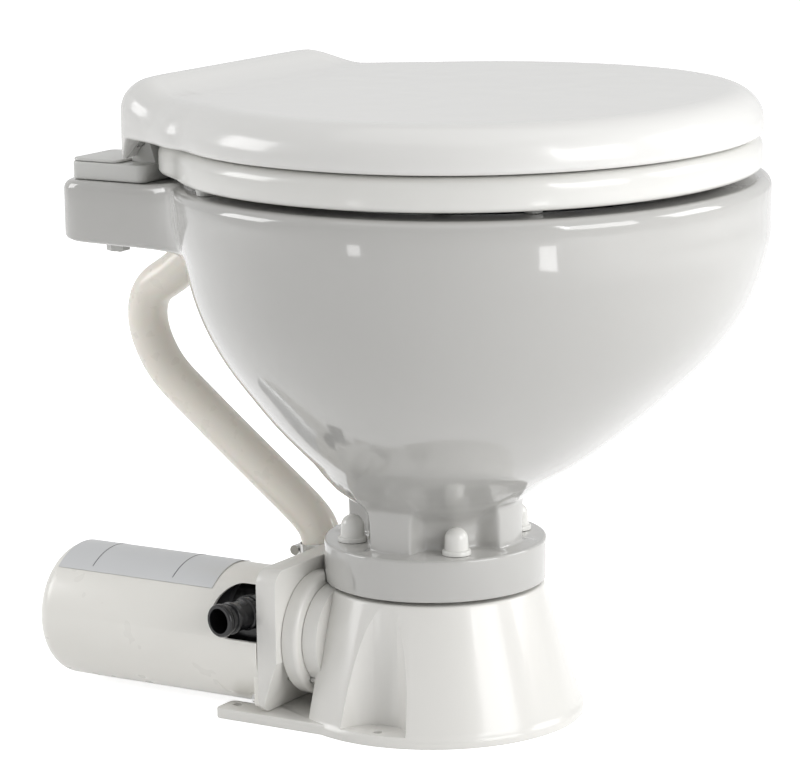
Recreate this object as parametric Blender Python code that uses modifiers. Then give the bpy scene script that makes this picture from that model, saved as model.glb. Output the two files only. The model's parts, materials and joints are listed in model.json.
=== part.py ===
"""Electric marine toilet: ceramic bowl, seat and lid on a macerator pump base with a raw water pump."""

import math

import bmesh
import bpy
from mathutils import Matrix, Vector

# Frame: origin on the base axis at floor level, +X to the bowl front, +Z up, metres.

# Clearances
GAP = 0.0003
OVERRUN = 0.004
THIN_OVERRUN = 0.001

# Bowl: section heights with half width, centre, front and rear reach
BOWL_SECTIONS = [
    (0.3230, 0.1763, 0.0335, 0.1655, 0.1780),
    (0.3000, 0.1757, 0.0335, 0.1650, 0.1760),
    (0.2865, 0.1735, 0.0330, 0.1640, 0.1710),
    (0.2800, 0.1722, 0.0329, 0.1632, 0.1695),
    (0.2720, 0.1706, 0.0327, 0.1622, 0.1675),
    (0.2600, 0.1680, 0.0318, 0.1608, 0.1645),
    (0.2400, 0.1605, 0.0312, 0.1550, 0.1575),
    (0.2200, 0.1500, 0.0305, 0.1455, 0.1470),
    (0.2000, 0.1350, 0.0290, 0.1312, 0.1325),
    (0.1820, 0.1180, 0.0243, 0.1150, 0.1150),
    (0.1680, 0.1022, 0.0205, 0.0998, 0.0998),
    (0.1570, 0.0868, 0.0150, 0.0855, 0.0855),
    (0.1480, 0.0725, 0.0068, 0.0720, 0.0720),
    (0.1400, 0.0615, 0.0015, 0.0613, 0.0613),
    (0.1337, 0.0530, 0.0000, 0.0530, 0.0530),
]
BOWL_POWER = 2.07
RIM_TOP = 0.3244
RIM_EDGE = 0.0060
DECK_STEP = 0.0026
DECK_TOP = RIM_TOP - DECK_STEP
DECK_REAR = 0.2000
DECK_HALF = 0.1000
DECK_CORNER = 0.0150
DECK_BLEND = 0.0045
DECK_START = -0.1160
DECK_FADE = 0.0200
DECK_LINE_STEP = 0.0050
DECK_REACH = {0.2872: 1.0, 0.2854: 0.965, 0.2838: 0.65, 0.2800: 0.18}
FOOT_FLANGE_R = 0.0665
FOOT_FLANGE_TOP = 0.1070
FOOT_BOTTOM = 0.0819
FOOT_EDGE = 0.0011
WEB_R = 0.0525
PIER_HALF = 0.0150
NECK_R = 0.0400
NECK_RISE = 0.0188
NECK_SLOPE = 1.76

# Bowl inside: heights with half width, centre, front and rear reach
RIM_INNER = (0.1385, 0.0390, 0.1270, 0.1230)
LIP_BOTTOM = 0.2950
LIP_THICK = 0.0100
CHANNEL_TOP = 0.3125
INNER_SECTIONS = [
    (0.3100, 0.1645, 0.0335, 0.1540, 0.1650),
    (0.2860, 0.1630, 0.0332, 0.1530, 0.1620),
    (0.2600, 0.1572, 0.0320, 0.1495, 0.1540),
    (0.2300, 0.1450, 0.0310, 0.1390, 0.1410),
    (0.2020, 0.1230, 0.0280, 0.1185, 0.1195),
    (0.1780, 0.0900, 0.0200, 0.0880, 0.0880),
    (0.1620, 0.0540, 0.0090, 0.0530, 0.0530),
    (0.1480, 0.0300, 0.0000, 0.0300, 0.0300),
]
DRAIN_R = 0.0262

# Flush inlet on the bowl
INLET_TIP = (-0.1735, 0.0, 0.2610)
INLET_ROOT = (-0.1372, 0.0, 0.2911)
INLET_END = (-0.1265, 0.0, 0.2999)
INLET_R = 0.0087
INLET_BORE = 0.0064

# Bowl bolts
BOLT_CIRCLE = 0.0506
BOLT_R = 0.0030
BOLT_HOLE_R = 0.0034
BOLT_HEAD_R = 0.0052
BOLT_HEAD_H = 0.0040
BOLT_BOTTOM = 0.0690
BOLT_HOLE_BOTTOM = 0.0680
CAP_R = 0.0069
CAP_FLANGE_R = 0.0086
CAP_FLANGE_H = 0.0028
CAP_H = 0.0160
CAP_WALL = 0.0011

# Pump base
BASE_TOP = 0.0795
BASE_TOP_R = 0.0650
BASE_FOOT_R = 0.0885
BASE_CONE_R = 0.0868
BASE_LEDGE = 0.0065
SUMP_R = 0.0300
SUMP_WALL = 0.0360
SUMP_FLOOR = 0.0070
HOLLOW_R = 0.0595
HOLLOW_TOP = 0.0640
HOLLOW_SPANS = [(-84.0, -47.0), (-43.0, -4.0), (4.0, 43.0), (47.0, 84.0), (96.0, 127.0)]
FACE_X = -0.0440
FOOT_REAR = -0.0785
FOOT_HALF = 0.0830
TAB_REAR = -0.1060
TAB_INNER = 0.0635
TAB_ROOT = -0.0700
TAB_CORNER = 0.0040
TAB_HOLE = (-0.0972, 0.0710)
RECESS_AXIS = (0.0062, 0.0870)
RECESS_R = 0.0215
RECESS_HOLE = (0.0070, 0.0800)
FLOOR_HOLE_R = 0.0026

# Seal between bowl and base
SEAL_OUTER = 0.0428
SEAL_INNER = 0.0312

# Pump axis: parallel to X
AXIS_Y = -0.0410
AXIS_Z = 0.0500
RING_REAR = -0.0500
RING_R = 0.0310
RING_CHAMBER_R = 0.0245
RING_CHAMBER_FRONT = -0.0466
THROAT = (-0.0330, 0.0460)
THROAT_R = 0.0155
DISC_R = 0.0372
DISC_FRONT = -0.0503
DISC_REAR = -0.0605
CHAMBER_R = 0.0255
CHAMBER_REAR = -0.0583
SHAFT_HOLE_R = 0.0050
OUTLET_X = -0.0575
OUTLET_R = 0.0120
OUTLET_BARB = 0.0128
OUTLET_BORE = 0.0090
OUTLET_START = 0.0086
OUTLET_END = 0.0560
OUTLET_BLOCK_HALF = 0.0106
OUTLET_COLLAR_R = 0.0126
DUCT_HALF = 0.0065
DUCT_FRONT = -0.0528
DUCT_REAR = -0.0577
ORING_R = 0.0278
ORING_THICK = 0.0012

# Relief under the bowl foot
RELIEF_R = 0.0669
RELIEF_Z = 0.0815

# Bracket plate
PLATE_FRONT = -0.0608
PLATE_REAR = -0.0745
PLATE_NEAR = -0.0830
PLATE_FAR = 0.0070
PLATE_BOTTOM = 0.0068
PLATE_TOP = 0.0945
PLATE_CORNER = 0.0100
PLATE_EDGE = 0.0012
PLATE_TAPER_TOP = 0.0385
PLATE_TAPER_X = -0.0722
SEAL_BORE_R = 0.0098
PUMP_SCREWS = [(50.0, "a"), (-20.0, "b"), (-130.0, "c")]
PUMP_SCREW_CIRCLE = 0.0315
SCREW_R = 0.0020
SCREW_HEAD_R = 0.0038
SCREW_HEAD_H = 0.0030
PUMP_SCREW_FRONT = -0.0330

# Raw water pump
BODY_R = 0.0310
BODY_FRONT = -0.0748
BODY_REAR = -0.1030
BODY_CHAMBER_R = 0.0225
BODY_CHAMBER_REAR = -0.0975
PORT_Z = 0.0655
PORT_BOSS_R = 0.0107
PORT_SOCKET_R = 0.0083
PORT_STEM_R = 0.0080
OUT_SOCKET_R = 0.0088
PORT_BORE = 0.0062
IN_END = (-0.0905, -0.0990, 0.0655)
IN_ANGLE = 11.3
IN_STEM_END = 0.0340
IN_BOSS_END = 0.0255
IN_COLLAR = 0.0040
IN_TUBE_R = 0.0086
IN_END_R = 0.0100
IN_BORE_R = 0.0076
OUT_X = -0.0865
OUT_STEM_START = -0.0200
OUT_BOSS_END = -0.0080
OUT_TURN_Y = 0.0132
OUT_TOP = (-0.0900, 0.0132, 0.0965)
OUT_TUBE_R = 0.0084
OUT_BEND = 0.0146
OUT_BARB_R = 0.0088

# Motor
SHAFT_R = 0.0040
SHAFT_FRONT = -0.0472
SHAFT_REAR = -0.2235
CAN_R = 0.0308
CAN_WALL = 0.0020
CAN_FRONT = -0.1062
CAN_REAR = -0.2280
BELL_FLANGE_FRONT = -0.1033
BELL_SPIGOT_REAR = -0.1120
BEARING_R = 0.0080
BEARING_IN = 0.0043
ARMATURE_R = 0.0200
ARMATURE_SPAN = (-0.2040, -0.1400)
MAGNET_IN = 0.0212
MAGNET_OUT = 0.0285
MAGNET_HALF_ANGLE = 62.0

# Motor cover
COVER_Y = -0.0420
COVER_Z = 0.0445
COVER_R = 0.0412
COVER_WALL = 0.0024
COVER_FRONT = -0.0752
COVER_REAR = -0.2390
COVER_ROUND = 0.0120
NOTCH_REAR = -0.1100
NOTCH_LOW = 0.0500
NOTCH_HIGH = 0.0800
LUG_THICK = 0.0040
LUG_SIDE = 0.0380
LUG_BOTTOM = 0.0095
LUG_TOP = 0.0300
LUG_INNER = 0.0240
LUG_SCREW = (0.0342, 0.0142)
LUG_SCREW_DEPTH = 0.0030
LUG_SCREW_R = 0.0016
LUG_SCREW_HEAD = (0.0030, 0.0020)
LUG_CORNER = 0.0030
LUG_HOLE_R = 0.0019
NOTCH_TAB = (0.0048, 0.0032)
NOTCH_INNER = 0.0080
GLAND_Z = 0.0225
GLAND_R = 0.0045
LABEL_SPAN = (-0.2290, -0.1150)
LABEL_ANGLES = (44.0, 112.0)
LABEL_THICK = 0.0004

# Flush hose
HOSE_POINTS = [
    (-0.0879, 0.0132, 0.0795),
    (-0.0898, 0.0132, 0.0945),
    (-0.0975, 0.0130, 0.1065),
    (-0.1227, 0.0115, 0.1275),
    (-0.1482, 0.0095, 0.1487),
    (-0.1736, 0.0075, 0.1702),
    (-0.1952, 0.0055, 0.1901),
    (-0.2053, 0.0030, 0.2109),
    (-0.2065, 0.0015, 0.2287),
    (-0.1996, 0.0005, 0.2424),
    (-0.1825, 0.0000, 0.2537),
    (-0.1605, 0.0000, 0.2718),
]
HOSE_R = 0.0124
HOSE_WALL = 0.0028
CLAMP_THICK = 0.0009
CLAMP_WIDTH = 0.0090
CLAMP_SCREW_R = 0.0032
CLAMP_SCREW_LENGTH = 0.0130

# Seat
SEAT_OUTLINE = [
    (-0.1180, 0.1040),
    (-0.1270, 0.0960),
    (-0.1335, 0.0870),
    (-0.1365, 0.0760),
    (-0.1375, 0.0600),
    (-0.1375, 0.0300),
    (-0.1375, 0.0000),
]
SEAT_ELLIPSE = (0.1743, 0.0335, 0.1640, 0.1780)
SEAT_ELLIPSE_END = -0.1050
SEAT_LIFT = 0.0043
SEAT_THICK = 0.0198
SEAT_BOTTOM = RIM_TOP + SEAT_LIFT
SEAT_TOP = SEAT_BOTTOM + SEAT_THICK
SEAT_EDGE = 0.0075
SEAT_HOLE = (0.1080, 0.0400, 0.1060, 0.1160)
SEAT_CROWN = 0.0012
SEAT_ORIGIN = 0.0200
BUMPER_R = 0.0060
BUMPER_STUD_R = 0.0020
BUMPER_STUD = 0.0050
BUMPERS = [(0.1290, 0.1080), (-0.0700, 0.1310)]

# Lid
LID_OUTLINE = [
    (-0.0990, 0.1310),
    (-0.1130, 0.1195),
    (-0.1270, 0.1115),
    (-0.1400, 0.1065),
    (-0.1500, 0.1015),
    (-0.1555, 0.0930),
    (-0.1567, 0.0800),
    (-0.1567, 0.0400),
    (-0.1567, 0.0000),
]
LID_ELLIPSE = (0.1755, 0.0335, 0.1650, 0.1790)
LID_ELLIPSE_END = -0.0880
LID_GAP = 0.0006
LID_THICK = 0.0264
LID_BOTTOM = SEAT_TOP + LID_GAP
LID_TOP = LID_BOTTOM + LID_THICK
LID_EDGE = 0.0030
LID_EDGE_IN = 0.0016
LID_SKIRT_OVERLAP = 0.0080
LID_PROFILE = [
    (0.045, 0.0), (0.026, 0.0), (0.0200, 0.0), (0.0130, 0.0012), (0.0062, 0.0048), (0.0018, 0.0110), (0.0, 0.0180)
]
LID_REAR_RISE = 0.0095
LID_RISE_START = -0.1080
LID_RISE_END = -0.1440
SKIRT_DROP = 0.0129
SKIRT_BOTTOM = LID_BOTTOM - SKIRT_DROP
SKIRT_FRONT = -0.1445

# Hinges
HINGE_X = -0.1495
HINGE_DROP = 0.0035
HINGE_Z = SEAT_TOP - HINGE_DROP
KNUCKLE_R = 0.0055
PIN_R = 0.0025
PIN_HOLE_R = 0.0028
PIN_SPAN = (0.0490, 0.0870)
NECK_SPAN = (0.0660, 0.0800)
ARM_SPAN = (0.0540, 0.0650)
ARM_PROFILE = [(-0.1420, 0.0033), (-0.1300, 0.0020), (-0.1300, -0.0070), (-0.1440, -0.0070)]
POCKET_SPAN = (0.0533, 0.0808)
POCKET_FRONT = -0.1408
POCKET_RISE = 0.0098
POCKET_TOP = HINGE_Z + POCKET_RISE
BLOCK_X = (-0.1920, -0.1395)
BLOCK_Y = (0.0500, 0.0940)
BLOCK_HEIGHT = 0.0108
BLOCK_TOP = DECK_TOP + BLOCK_HEIGHT
BLOCK_EDGE = 0.0055
NECK_FRONT = -0.1405
NECK_REAR = -0.1572
FLAP_X = (-0.1915, -0.1580)
FLAP_THICK = 0.0018
HINGE_BOLT = (-0.1745, 0.0720)
HINGE_BOLT_R = 0.0030
HINGE_HEAD_R = 0.0068
HINGE_POCKET_R = 0.0085
HINGE_HEAD_BOTTOM = DECK_TOP + 0.0052
HINGE_HEAD_H = 0.0036
HINGE_NUT_R = 0.0070
HINGE_NUT = (DECK_TOP - 0.0442, DECK_TOP - 0.0395)

# Finish colours: red, green, blue, roughness, metallic
FINISHES = {
    "ceramic": (0.84, 0.84, 0.82, 0.12, 0.0),
    "lid_plastic": (0.85, 0.85, 0.84, 0.22, 0.0),
    "seat_plastic": (0.85, 0.85, 0.83, 0.22, 0.0),
    "base_plastic": (0.80, 0.80, 0.78, 0.28, 0.0),
    "cover_plastic": (0.79, 0.79, 0.76, 0.30, 0.0),
    "hinge_plastic": (0.76, 0.76, 0.74, 0.30, 0.0),
    "hose_vinyl": (0.82, 0.77, 0.69, 0.32, 0.0),
    "black_plastic": (0.02, 0.02, 0.02, 0.35, 0.0),
    "rubber": (0.03, 0.03, 0.03, 0.60, 0.0),
    "steel": (0.62, 0.62, 0.62, 0.25, 1.0),
    "dark_iron": (0.10, 0.10, 0.11, 0.55, 0.6),
    "copper": (0.62, 0.33, 0.18, 0.40, 0.9),
    "silver_film": (0.66, 0.67, 0.68, 0.30, 0.6),
}


def clear_scene():
    """Remove every object so that the file starts empty."""
    for item in list(bpy.data.objects):
        bpy.data.objects.remove(item, do_unlink=True)


def make_collection(name):
    """A collection linked to the scene."""
    found = bpy.data.collections.new(name)
    bpy.context.scene.collection.children.link(found)
    return found


class Kit:
    """Holds the collections and finishes that the pieces share."""

    def __init__(self):
        self.parts = make_collection("electric_marine_toilet")
        self.cutters = make_collection("cutters")
        self.finishes = {}
        self.count = 0

    def finish(self, piece, slot):
        """The piece's own material in one of the listed finishes."""
        red, green, blue, rough, metal = FINISHES[slot]
        made = bpy.data.materials.new(f"{piece}_{slot}")
        made.use_nodes = True
        shader = made.node_tree.nodes["Principled BSDF"]
        shader.inputs["Base Color"].default_value = (red, green, blue, 1.0)
        shader.inputs["Roughness"].default_value = rough
        shader.inputs["Metallic"].default_value = metal
        made.diffuse_color = (red, green, blue, 1.0)
        return made

    def add(self, name, mesh, slot, smooth_angle=35.0):
        """A named sub-part."""
        item = bpy.data.objects.new(name, mesh)
        self.parts.objects.link(item)
        if mesh.materials:
            mesh.materials.clear()
        mesh.materials.append(self.finish(name, slot))
        smooth(mesh, smooth_angle)
        return item

    def tool(self, mesh):
        """A hidden solid used to shape another."""
        self.count += 1
        item = bpy.data.objects.new(f"cutter_{self.count:03d}", mesh)
        self.cutters.objects.link(item)
        item.hide_render = True
        item.display_type = "WIRE"
        return item


def smooth(mesh, angle):
    """Smooth shading with sharp edges kept."""
    mesh.shade_smooth()
    mesh.set_sharp_from_angle(angle=math.radians(angle))


def to_mesh(name, build):
    """A mesh made by a function that fills a bmesh."""
    mesh = bpy.data.meshes.new(name)
    bm = bmesh.new()
    build(bm)
    bm.to_mesh(mesh)
    bm.free()
    return mesh


def combine(target, tool, operation):
    """A live Boolean of the tool on the target."""
    step = target.modifiers.new(f"{operation.lower()}_{len(target.modifiers)}", "BOOLEAN")
    step.operation = operation
    step.solver = "EXACT"
    step.object = tool
    return target


def cut(target, *tools):
    """Take the tools out of the target."""
    for tool in tools:
        combine(target, tool, "DIFFERENCE")
    return target


def join(target, *tools):
    """Add the tools to the target."""
    for tool in tools:
        combine(target, tool, "UNION")
    return target


def keep(target, *tools):
    """Keep only what lies inside the tools."""
    for tool in tools:
        combine(target, tool, "INTERSECT")
    return target


def box_mesh(low, high):
    """A box between two corners."""

    def build(bm):
        bmesh.ops.create_cube(bm, size=1.0)
        for vert in bm.verts:
            vert.co = Vector([
                low[i] if vert.co[i] < 0.0 else high[i]
                for i in range(3)
            ])
        bmesh.ops.recalc_face_normals(bm, faces=bm.faces)

    return to_mesh("box", build)


def rod_mesh(start, end, radius, sides=32, end_radius=None):
    """A cylinder or cone between two points."""
    a = Vector(start)
    b = Vector(end)
    length = (b - a).length
    turn = Vector((0.0, 0.0, 1.0)).rotation_difference(b - a).to_matrix().to_4x4()
    place = Matrix.Translation((a + b) / 2.0) @ turn

    def build(bm):
        bmesh.ops.create_cone(
            bm,
            cap_ends=True,
            segments=sides,
            radius1=radius,
            radius2=radius if end_radius is None else end_radius,
            depth=length,
            matrix=place,
        )

    return to_mesh("rod", build)


def ball_mesh(centre, radius, sides=24):
    """A sphere."""

    def build(bm):
        bmesh.ops.create_uvsphere(
            bm,
            u_segments=sides,
            v_segments=sides // 2,
            radius=radius,
            matrix=Matrix.Translation(centre),
        )

    return to_mesh("ball", build)


def prism_mesh(outline, low, high, axis="Z"):
    """A flat outline pushed from low to high along an axis."""

    def place(a, b, level):
        if axis == "X":
            return Vector((level, a, b))
        if axis == "Y":
            return Vector((a, level, b))
        return Vector((a, b, level))

    def build(bm):
        bottom = [bm.verts.new(place(a, b, low)) for a, b in outline]
        top = [bm.verts.new(place(a, b, high)) for a, b in outline]
        count = len(outline)
        bm.faces.new(bottom)
        bm.faces.new(top)
        for i in range(count):
            j = (i + 1) % count
            bm.faces.new((bottom[i], bottom[j], top[j], top[i]))
        bmesh.ops.recalc_face_normals(bm, faces=bm.faces)

    return to_mesh("prism", build)


def loft_mesh(rings, closed=False):
    """A skin over rings with equal point counts; closed joins the last ring to the first."""

    def build(bm):
        rows = [[bm.verts.new(point) for point in ring] for ring in rings]
        count = len(rings[0])
        pairs = list(zip(rows[:-1], rows[1:]))
        if closed:
            pairs.append((rows[-1], rows[0]))
        else:
            bm.faces.new(rows[0])
            bm.faces.new(rows[-1])
        for lower, upper in pairs:
            for i in range(count):
                j = (i + 1) % count
                bm.faces.new((lower[i], lower[j], upper[j], upper[i]))
        bmesh.ops.recalc_face_normals(bm, faces=bm.faces)

    return to_mesh("loft", build)


def arc(centre, radius, start, end, steps):
    """Points on a circle arc, in degrees."""
    return [
        (
            centre[0] + radius * math.cos(math.radians(start + (end - start) * i / steps)),
            centre[1] + radius * math.sin(math.radians(start + (end - start) * i / steps)),
        )
        for i in range(steps + 1)
    ]


def rounded_box(low, high, radius, steps=5):
    """A rectangle outline with rounded corners."""
    left, bottom = low[0] + radius, low[1] + radius
    right, top = high[0] - radius, high[1] - radius
    return (
        arc((right, bottom), radius, -90.0, 0.0, steps)
        + arc((right, top), radius, 0.0, 90.0, steps)
        + arc((left, top), radius, 90.0, 180.0, steps)
        + arc((left, bottom), radius, 180.0, 270.0, steps)
    )


def spun(item, profile, steps=48, closed=True):
    """Turn a profile of radius and height about the item's own Z with a Screw modifier."""
    mesh = item.data
    bm = bmesh.new()
    verts = [bm.verts.new((radius, 0.0, height)) for radius, height in profile]
    pairs = list(zip(verts[:-1], verts[1:]))
    if closed:
        pairs.append((verts[-1], verts[0]))
    for a, b in pairs:
        if a.co.x > 0.0 or b.co.x > 0.0:
            bm.edges.new((a, b))
    bm.to_mesh(mesh)
    bm.free()
    step = item.modifiers.new("turn", "SCREW")
    step.axis = "Z"
    step.angle = math.tau
    step.steps = steps
    step.render_steps = steps
    step.use_merge_vertices = True
    step.merge_threshold = 0.00002
    step.use_smooth_shade = True
    return item


def lay_along(item, origin, direction):
    """Put the item's Z axis along a direction from an origin."""
    turn = Vector((0.0, 0.0, 1.0)).rotation_difference(Vector(direction))
    item.rotation_mode = "XYZ"
    item.rotation_euler = turn.to_euler()
    item.location = origin
    return item


def turned(kit, name, slot, profile, origin, direction, steps=48, closed=True):
    """A turned sub-part with its axis through origin along direction."""
    item = kit.add(name, bpy.data.meshes.new(name), slot)
    spun(item, profile, steps, closed)
    return lay_along(item, origin, direction)


def turned_tool(kit, profile, origin, direction, steps=48, closed=True):
    """A turned shaping solid."""
    item = kit.tool(bpy.data.meshes.new("turned"))
    spun(item, profile, steps, closed)
    return lay_along(item, origin, direction)


def smooth_path(points, per_span):
    """Points along a smooth curve through the given ones."""
    known = [Vector(p) for p in points]
    out = []
    for i in range(len(known) - 1):
        before = known[max(i - 1, 0)]
        here, there = known[i], known[i + 1]
        after = known[min(i + 2, len(known) - 1)]
        for k in range(per_span):
            t = k / per_span
            out.append(0.5 * (
                2.0 * here
                + (there - before) * t
                + (2.0 * before - 5.0 * here + 4.0 * there - after) * t * t
                + (3.0 * here - before - 3.0 * there + after) * t ** 3
            ))
    out.append(known[-1])
    return out


def rod_path(points, radius, sides, caps=True):
    """A round bar, or an open skin without caps, along a path, from a bevelled curve."""
    data = bpy.data.curves.new("path", "CURVE")
    data.dimensions = "3D"
    spline = data.splines.new("POLY")
    spline.points.add(len(points) - 1)
    for slot, point in zip(spline.points, points):
        slot.co = (point[0], point[1], point[2], 1.0)
    data.bevel_depth = radius
    data.bevel_resolution = sides // 2 - 2
    data.use_fill_caps = caps
    data.fill_mode = "FULL"
    holder = bpy.data.objects.new("path", data)
    bpy.context.scene.collection.objects.link(holder)
    bpy.context.view_layer.update()
    graph = bpy.context.evaluated_depsgraph_get()
    mesh = bpy.data.meshes.new_from_object(holder.evaluated_get(graph))
    bpy.data.objects.remove(holder, do_unlink=True)
    bm = bmesh.new()
    bm.from_mesh(mesh)
    bmesh.ops.remove_doubles(bm, verts=bm.verts, dist=0.00001)
    bmesh.ops.recalc_face_normals(bm, faces=bm.faces)
    bm.to_mesh(mesh)
    bm.free()
    return mesh


def angles():
    """Angles round the bowl: coarse at the front, fine at the deck."""
    half = [12.0 * i for i in range(10)] + [118.0, 128.0, 137.0, 144.0]
    half += [148.5, 151.5, 154.5, 157.5, 161.0, 168.0, 180.0]
    return half + [-a for a in reversed(half[1:-1])]


def ellipse_reach(angle, half, centre, front, rear, power):
    """Distance from the axis to a superellipse along an angle."""
    ca, sa = math.cos(math.radians(angle)), math.sin(math.radians(angle))
    low, high = 0.0, 0.5
    for _ in range(48):
        mid = (low + high) / 2.0
        x, y = mid * ca - centre, mid * sa
        reach = front if x > 0.0 else rear
        inside = abs(x / reach) ** power + abs(y / half) ** power < 1.0
        low, high = (mid, high) if inside else (low, mid)
    return (low + high) / 2.0


def deck_reach(angle):
    """Distance from the axis to the deck outline along an angle, or nought in front of it."""
    if abs(angle) < 95.0:
        return 0.0
    ca, sa = math.cos(math.radians(angle)), abs(math.sin(math.radians(angle)))
    low, high = 0.0, 0.5
    for _ in range(48):
        mid = (low + high) / 2.0
        x, y = mid * ca, mid * sa
        past_x = max(DECK_CORNER - DECK_REAR - x, 0.0)
        past_y = max(y - DECK_HALF + DECK_CORNER, 0.0)
        inside = math.hypot(past_x, past_y) < DECK_CORNER
        low, high = (mid, high) if inside else (low, mid)
    return (low + high) / 2.0


def blended(a, b):
    """The larger of two reaches with a soft joint."""
    top = max(a, b)
    return top + DECK_BLEND * math.log(
        math.exp((a - top) / DECK_BLEND) + math.exp((b - top) / DECK_BLEND)
    )


def section_at(level, table):
    """Half width, centre, front and rear reach at a height."""
    rows = sorted(table)
    for low, high in zip(rows[:-1], rows[1:]):
        if low[0] <= level <= high[0]:
            t = (level - low[0]) / (high[0] - low[0])
            return [low[k] + (high[k] - low[k]) * t for k in range(1, 5)]
    return list(rows[-1][1:]) if level > rows[-1][0] else list(rows[0][1:])


def bowl_ring(level, share_out, inset, top_level):
    """One outer ring of the bowl, with the deck when share_out is above nought."""
    half, centre, front, rear = section_at(level, BOWL_SECTIONS)
    out = []
    for angle in angles():
        reach = ellipse_reach(angle, half, centre, front, rear, BOWL_POWER)
        if share_out > 0.0:
            reach += share_out * (blended(reach, deck_reach(angle)) - reach)
        reach -= inset
        x = reach * math.cos(math.radians(angle))
        y = reach * math.sin(math.radians(angle))
        z = level if top_level is None else top_level - rim_drop(x)
        out.append(Vector((x, y, z)))
    return out


def deck_lines():
    """Two rings across the top where the rim steps down to the deck."""
    half, centre, front, rear = section_at(0.3230, BOWL_SECTIONS)
    inner_half, inner_centre, inner_front, inner_rear = RIM_INNER
    low_line, high_line = [], []
    for angle in angles():
        ca, sa = math.cos(math.radians(angle)), math.sin(math.radians(angle))
        outer = blended(ellipse_reach(angle, half, centre, front, rear, BOWL_POWER), deck_reach(angle))
        outer -= RIM_EDGE
        inner = RIM_EDGE + ellipse_reach(
            angle, inner_half, inner_centre, inner_front, inner_rear, BOWL_POWER
        )
        first, second = inner + (outer - inner) * 0.67, inner + (outer - inner) * 0.33
        if ca < -0.5:
            first = min((DECK_START - DECK_FADE) / ca, outer - DECK_LINE_STEP)
            second = min(DECK_START / ca, first - DECK_LINE_STEP)
        low_line.append(Vector((first * ca, first * sa, RIM_TOP - rim_drop(first * ca))))
        high_line.append(Vector((second * ca, second * sa, RIM_TOP - rim_drop(second * ca))))
    return [low_line, high_line]


def rim_drop(x):
    """How far the deck's top lies under the rim at a place."""
    t = min(max((DECK_START - x) / DECK_FADE, 0.0), 1.0)
    return (RIM_TOP - DECK_TOP) * t * t * (3.0 - 2.0 * t)


def plain_ring(level, half, centre, front, rear, inset=0.0):
    """One ring of the bowl's inside."""
    out = []
    for angle in angles():
        reach = ellipse_reach(angle, half, centre, front, rear, BOWL_POWER) - inset
        x = reach * math.cos(math.radians(angle))
        y = reach * math.sin(math.radians(angle))
        out.append(Vector((x, y, level)))
    return out


def round_ring(level, radius):
    """A circular ring about the base axis."""
    return [
        Vector((radius * math.cos(math.radians(a)), radius * math.sin(math.radians(a)), level))
        for a in angles()
    ]


def bowl_rings():
    """Every ring of the bowl skin, from the outer foot up, over the rim and down the inside."""
    rings = [
        round_ring(FOOT_BOTTOM, FOOT_FLANGE_R - FOOT_EDGE),
        round_ring(FOOT_BOTTOM + FOOT_EDGE, FOOT_FLANGE_R),
        round_ring(FOOT_FLANGE_TOP - FOOT_EDGE, FOOT_FLANGE_R),
        round_ring(FOOT_FLANGE_TOP, FOOT_FLANGE_R - FOOT_EDGE),
        round_ring(FOOT_FLANGE_TOP, WEB_R),
    ]
    for level in sorted(row[0] for row in BOWL_SECTIONS):
        if level < 0.265:
            rings.append(bowl_ring(level, 0.0, 0.0, None))
    for level in sorted(DECK_REACH):
        rings.append(bowl_ring(level, DECK_REACH[level], 0.0, None))
    rings.append(bowl_ring(0.3000, 1.0, 0.0, None))
    rings.append(bowl_ring(0.3230, 1.0, 0.0, RIM_TOP - RIM_EDGE))
    rings.append(bowl_ring(0.3230, 1.0, RIM_EDGE * 0.29, RIM_TOP - RIM_EDGE * 0.29))
    rings.append(bowl_ring(0.3230, 1.0, RIM_EDGE, RIM_TOP))
    rings += deck_lines()
    half, centre, front, rear = RIM_INNER
    rings.append(plain_ring(RIM_TOP, half, centre, front, rear, -RIM_EDGE))
    rings.append(plain_ring(RIM_TOP - RIM_EDGE, half, centre, front, rear))
    rings.append(plain_ring(LIP_BOTTOM + 0.0020, half, centre, front, rear))
    rings.append(plain_ring(LIP_BOTTOM, half, centre, front, rear, -LIP_THICK * 0.5))
    rings.append(plain_ring(LIP_BOTTOM + 0.0020, half, centre, front, rear, -LIP_THICK))
    rings.append(plain_ring(CHANNEL_TOP, half, centre, front, rear, -LIP_THICK))
    for level, half, centre, front, rear in INNER_SECTIONS:
        rings.append(plain_ring(level, half, centre, front, rear))
    rings.append(round_ring(0.1400, DRAIN_R))
    rings.append(round_ring(FOOT_BOTTOM, DRAIN_R))
    return rings


def bolt_places():
    """The four bowl bolts."""
    return [
        (name, BOLT_CIRCLE * math.cos(math.radians(a)), BOLT_CIRCLE * math.sin(math.radians(a)), a)
        for name, a in (("a", -45.0), ("b", 45.0), ("c", 135.0), ("d", -135.0))
    ]


def niche_tool(kit, middle_angle):
    """The space over one foot bolt: between two piers, outside the neck and under the bowl's cone."""
    reach = WEB_R + OVERRUN
    inner = math.degrees(math.asin(PIER_HALF / NECK_R))
    outer = math.degrees(math.asin(PIER_HALF / reach))
    outline = arc((0.0, 0.0), reach, middle_angle - 45.0 + outer, middle_angle + 45.0 - outer, 6)
    outline += arc((0.0, 0.0), NECK_R, middle_angle + 45.0 - inner, middle_angle - 45.0 + inner, 6)
    tool = kit.tool(prism_mesh(outline, FOOT_FLANGE_TOP, FOOT_FLANGE_TOP + NECK_RISE + WEB_R))
    low = FOOT_FLANGE_TOP + NECK_RISE
    cone = rod_mesh(
        (0, 0, low), (0, 0, low + WEB_R + OVERRUN), NECK_R, 48, NECK_R + (WEB_R + OVERRUN) * NECK_SLOPE
    )
    return cut(tool, kit.tool(cone))


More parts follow.
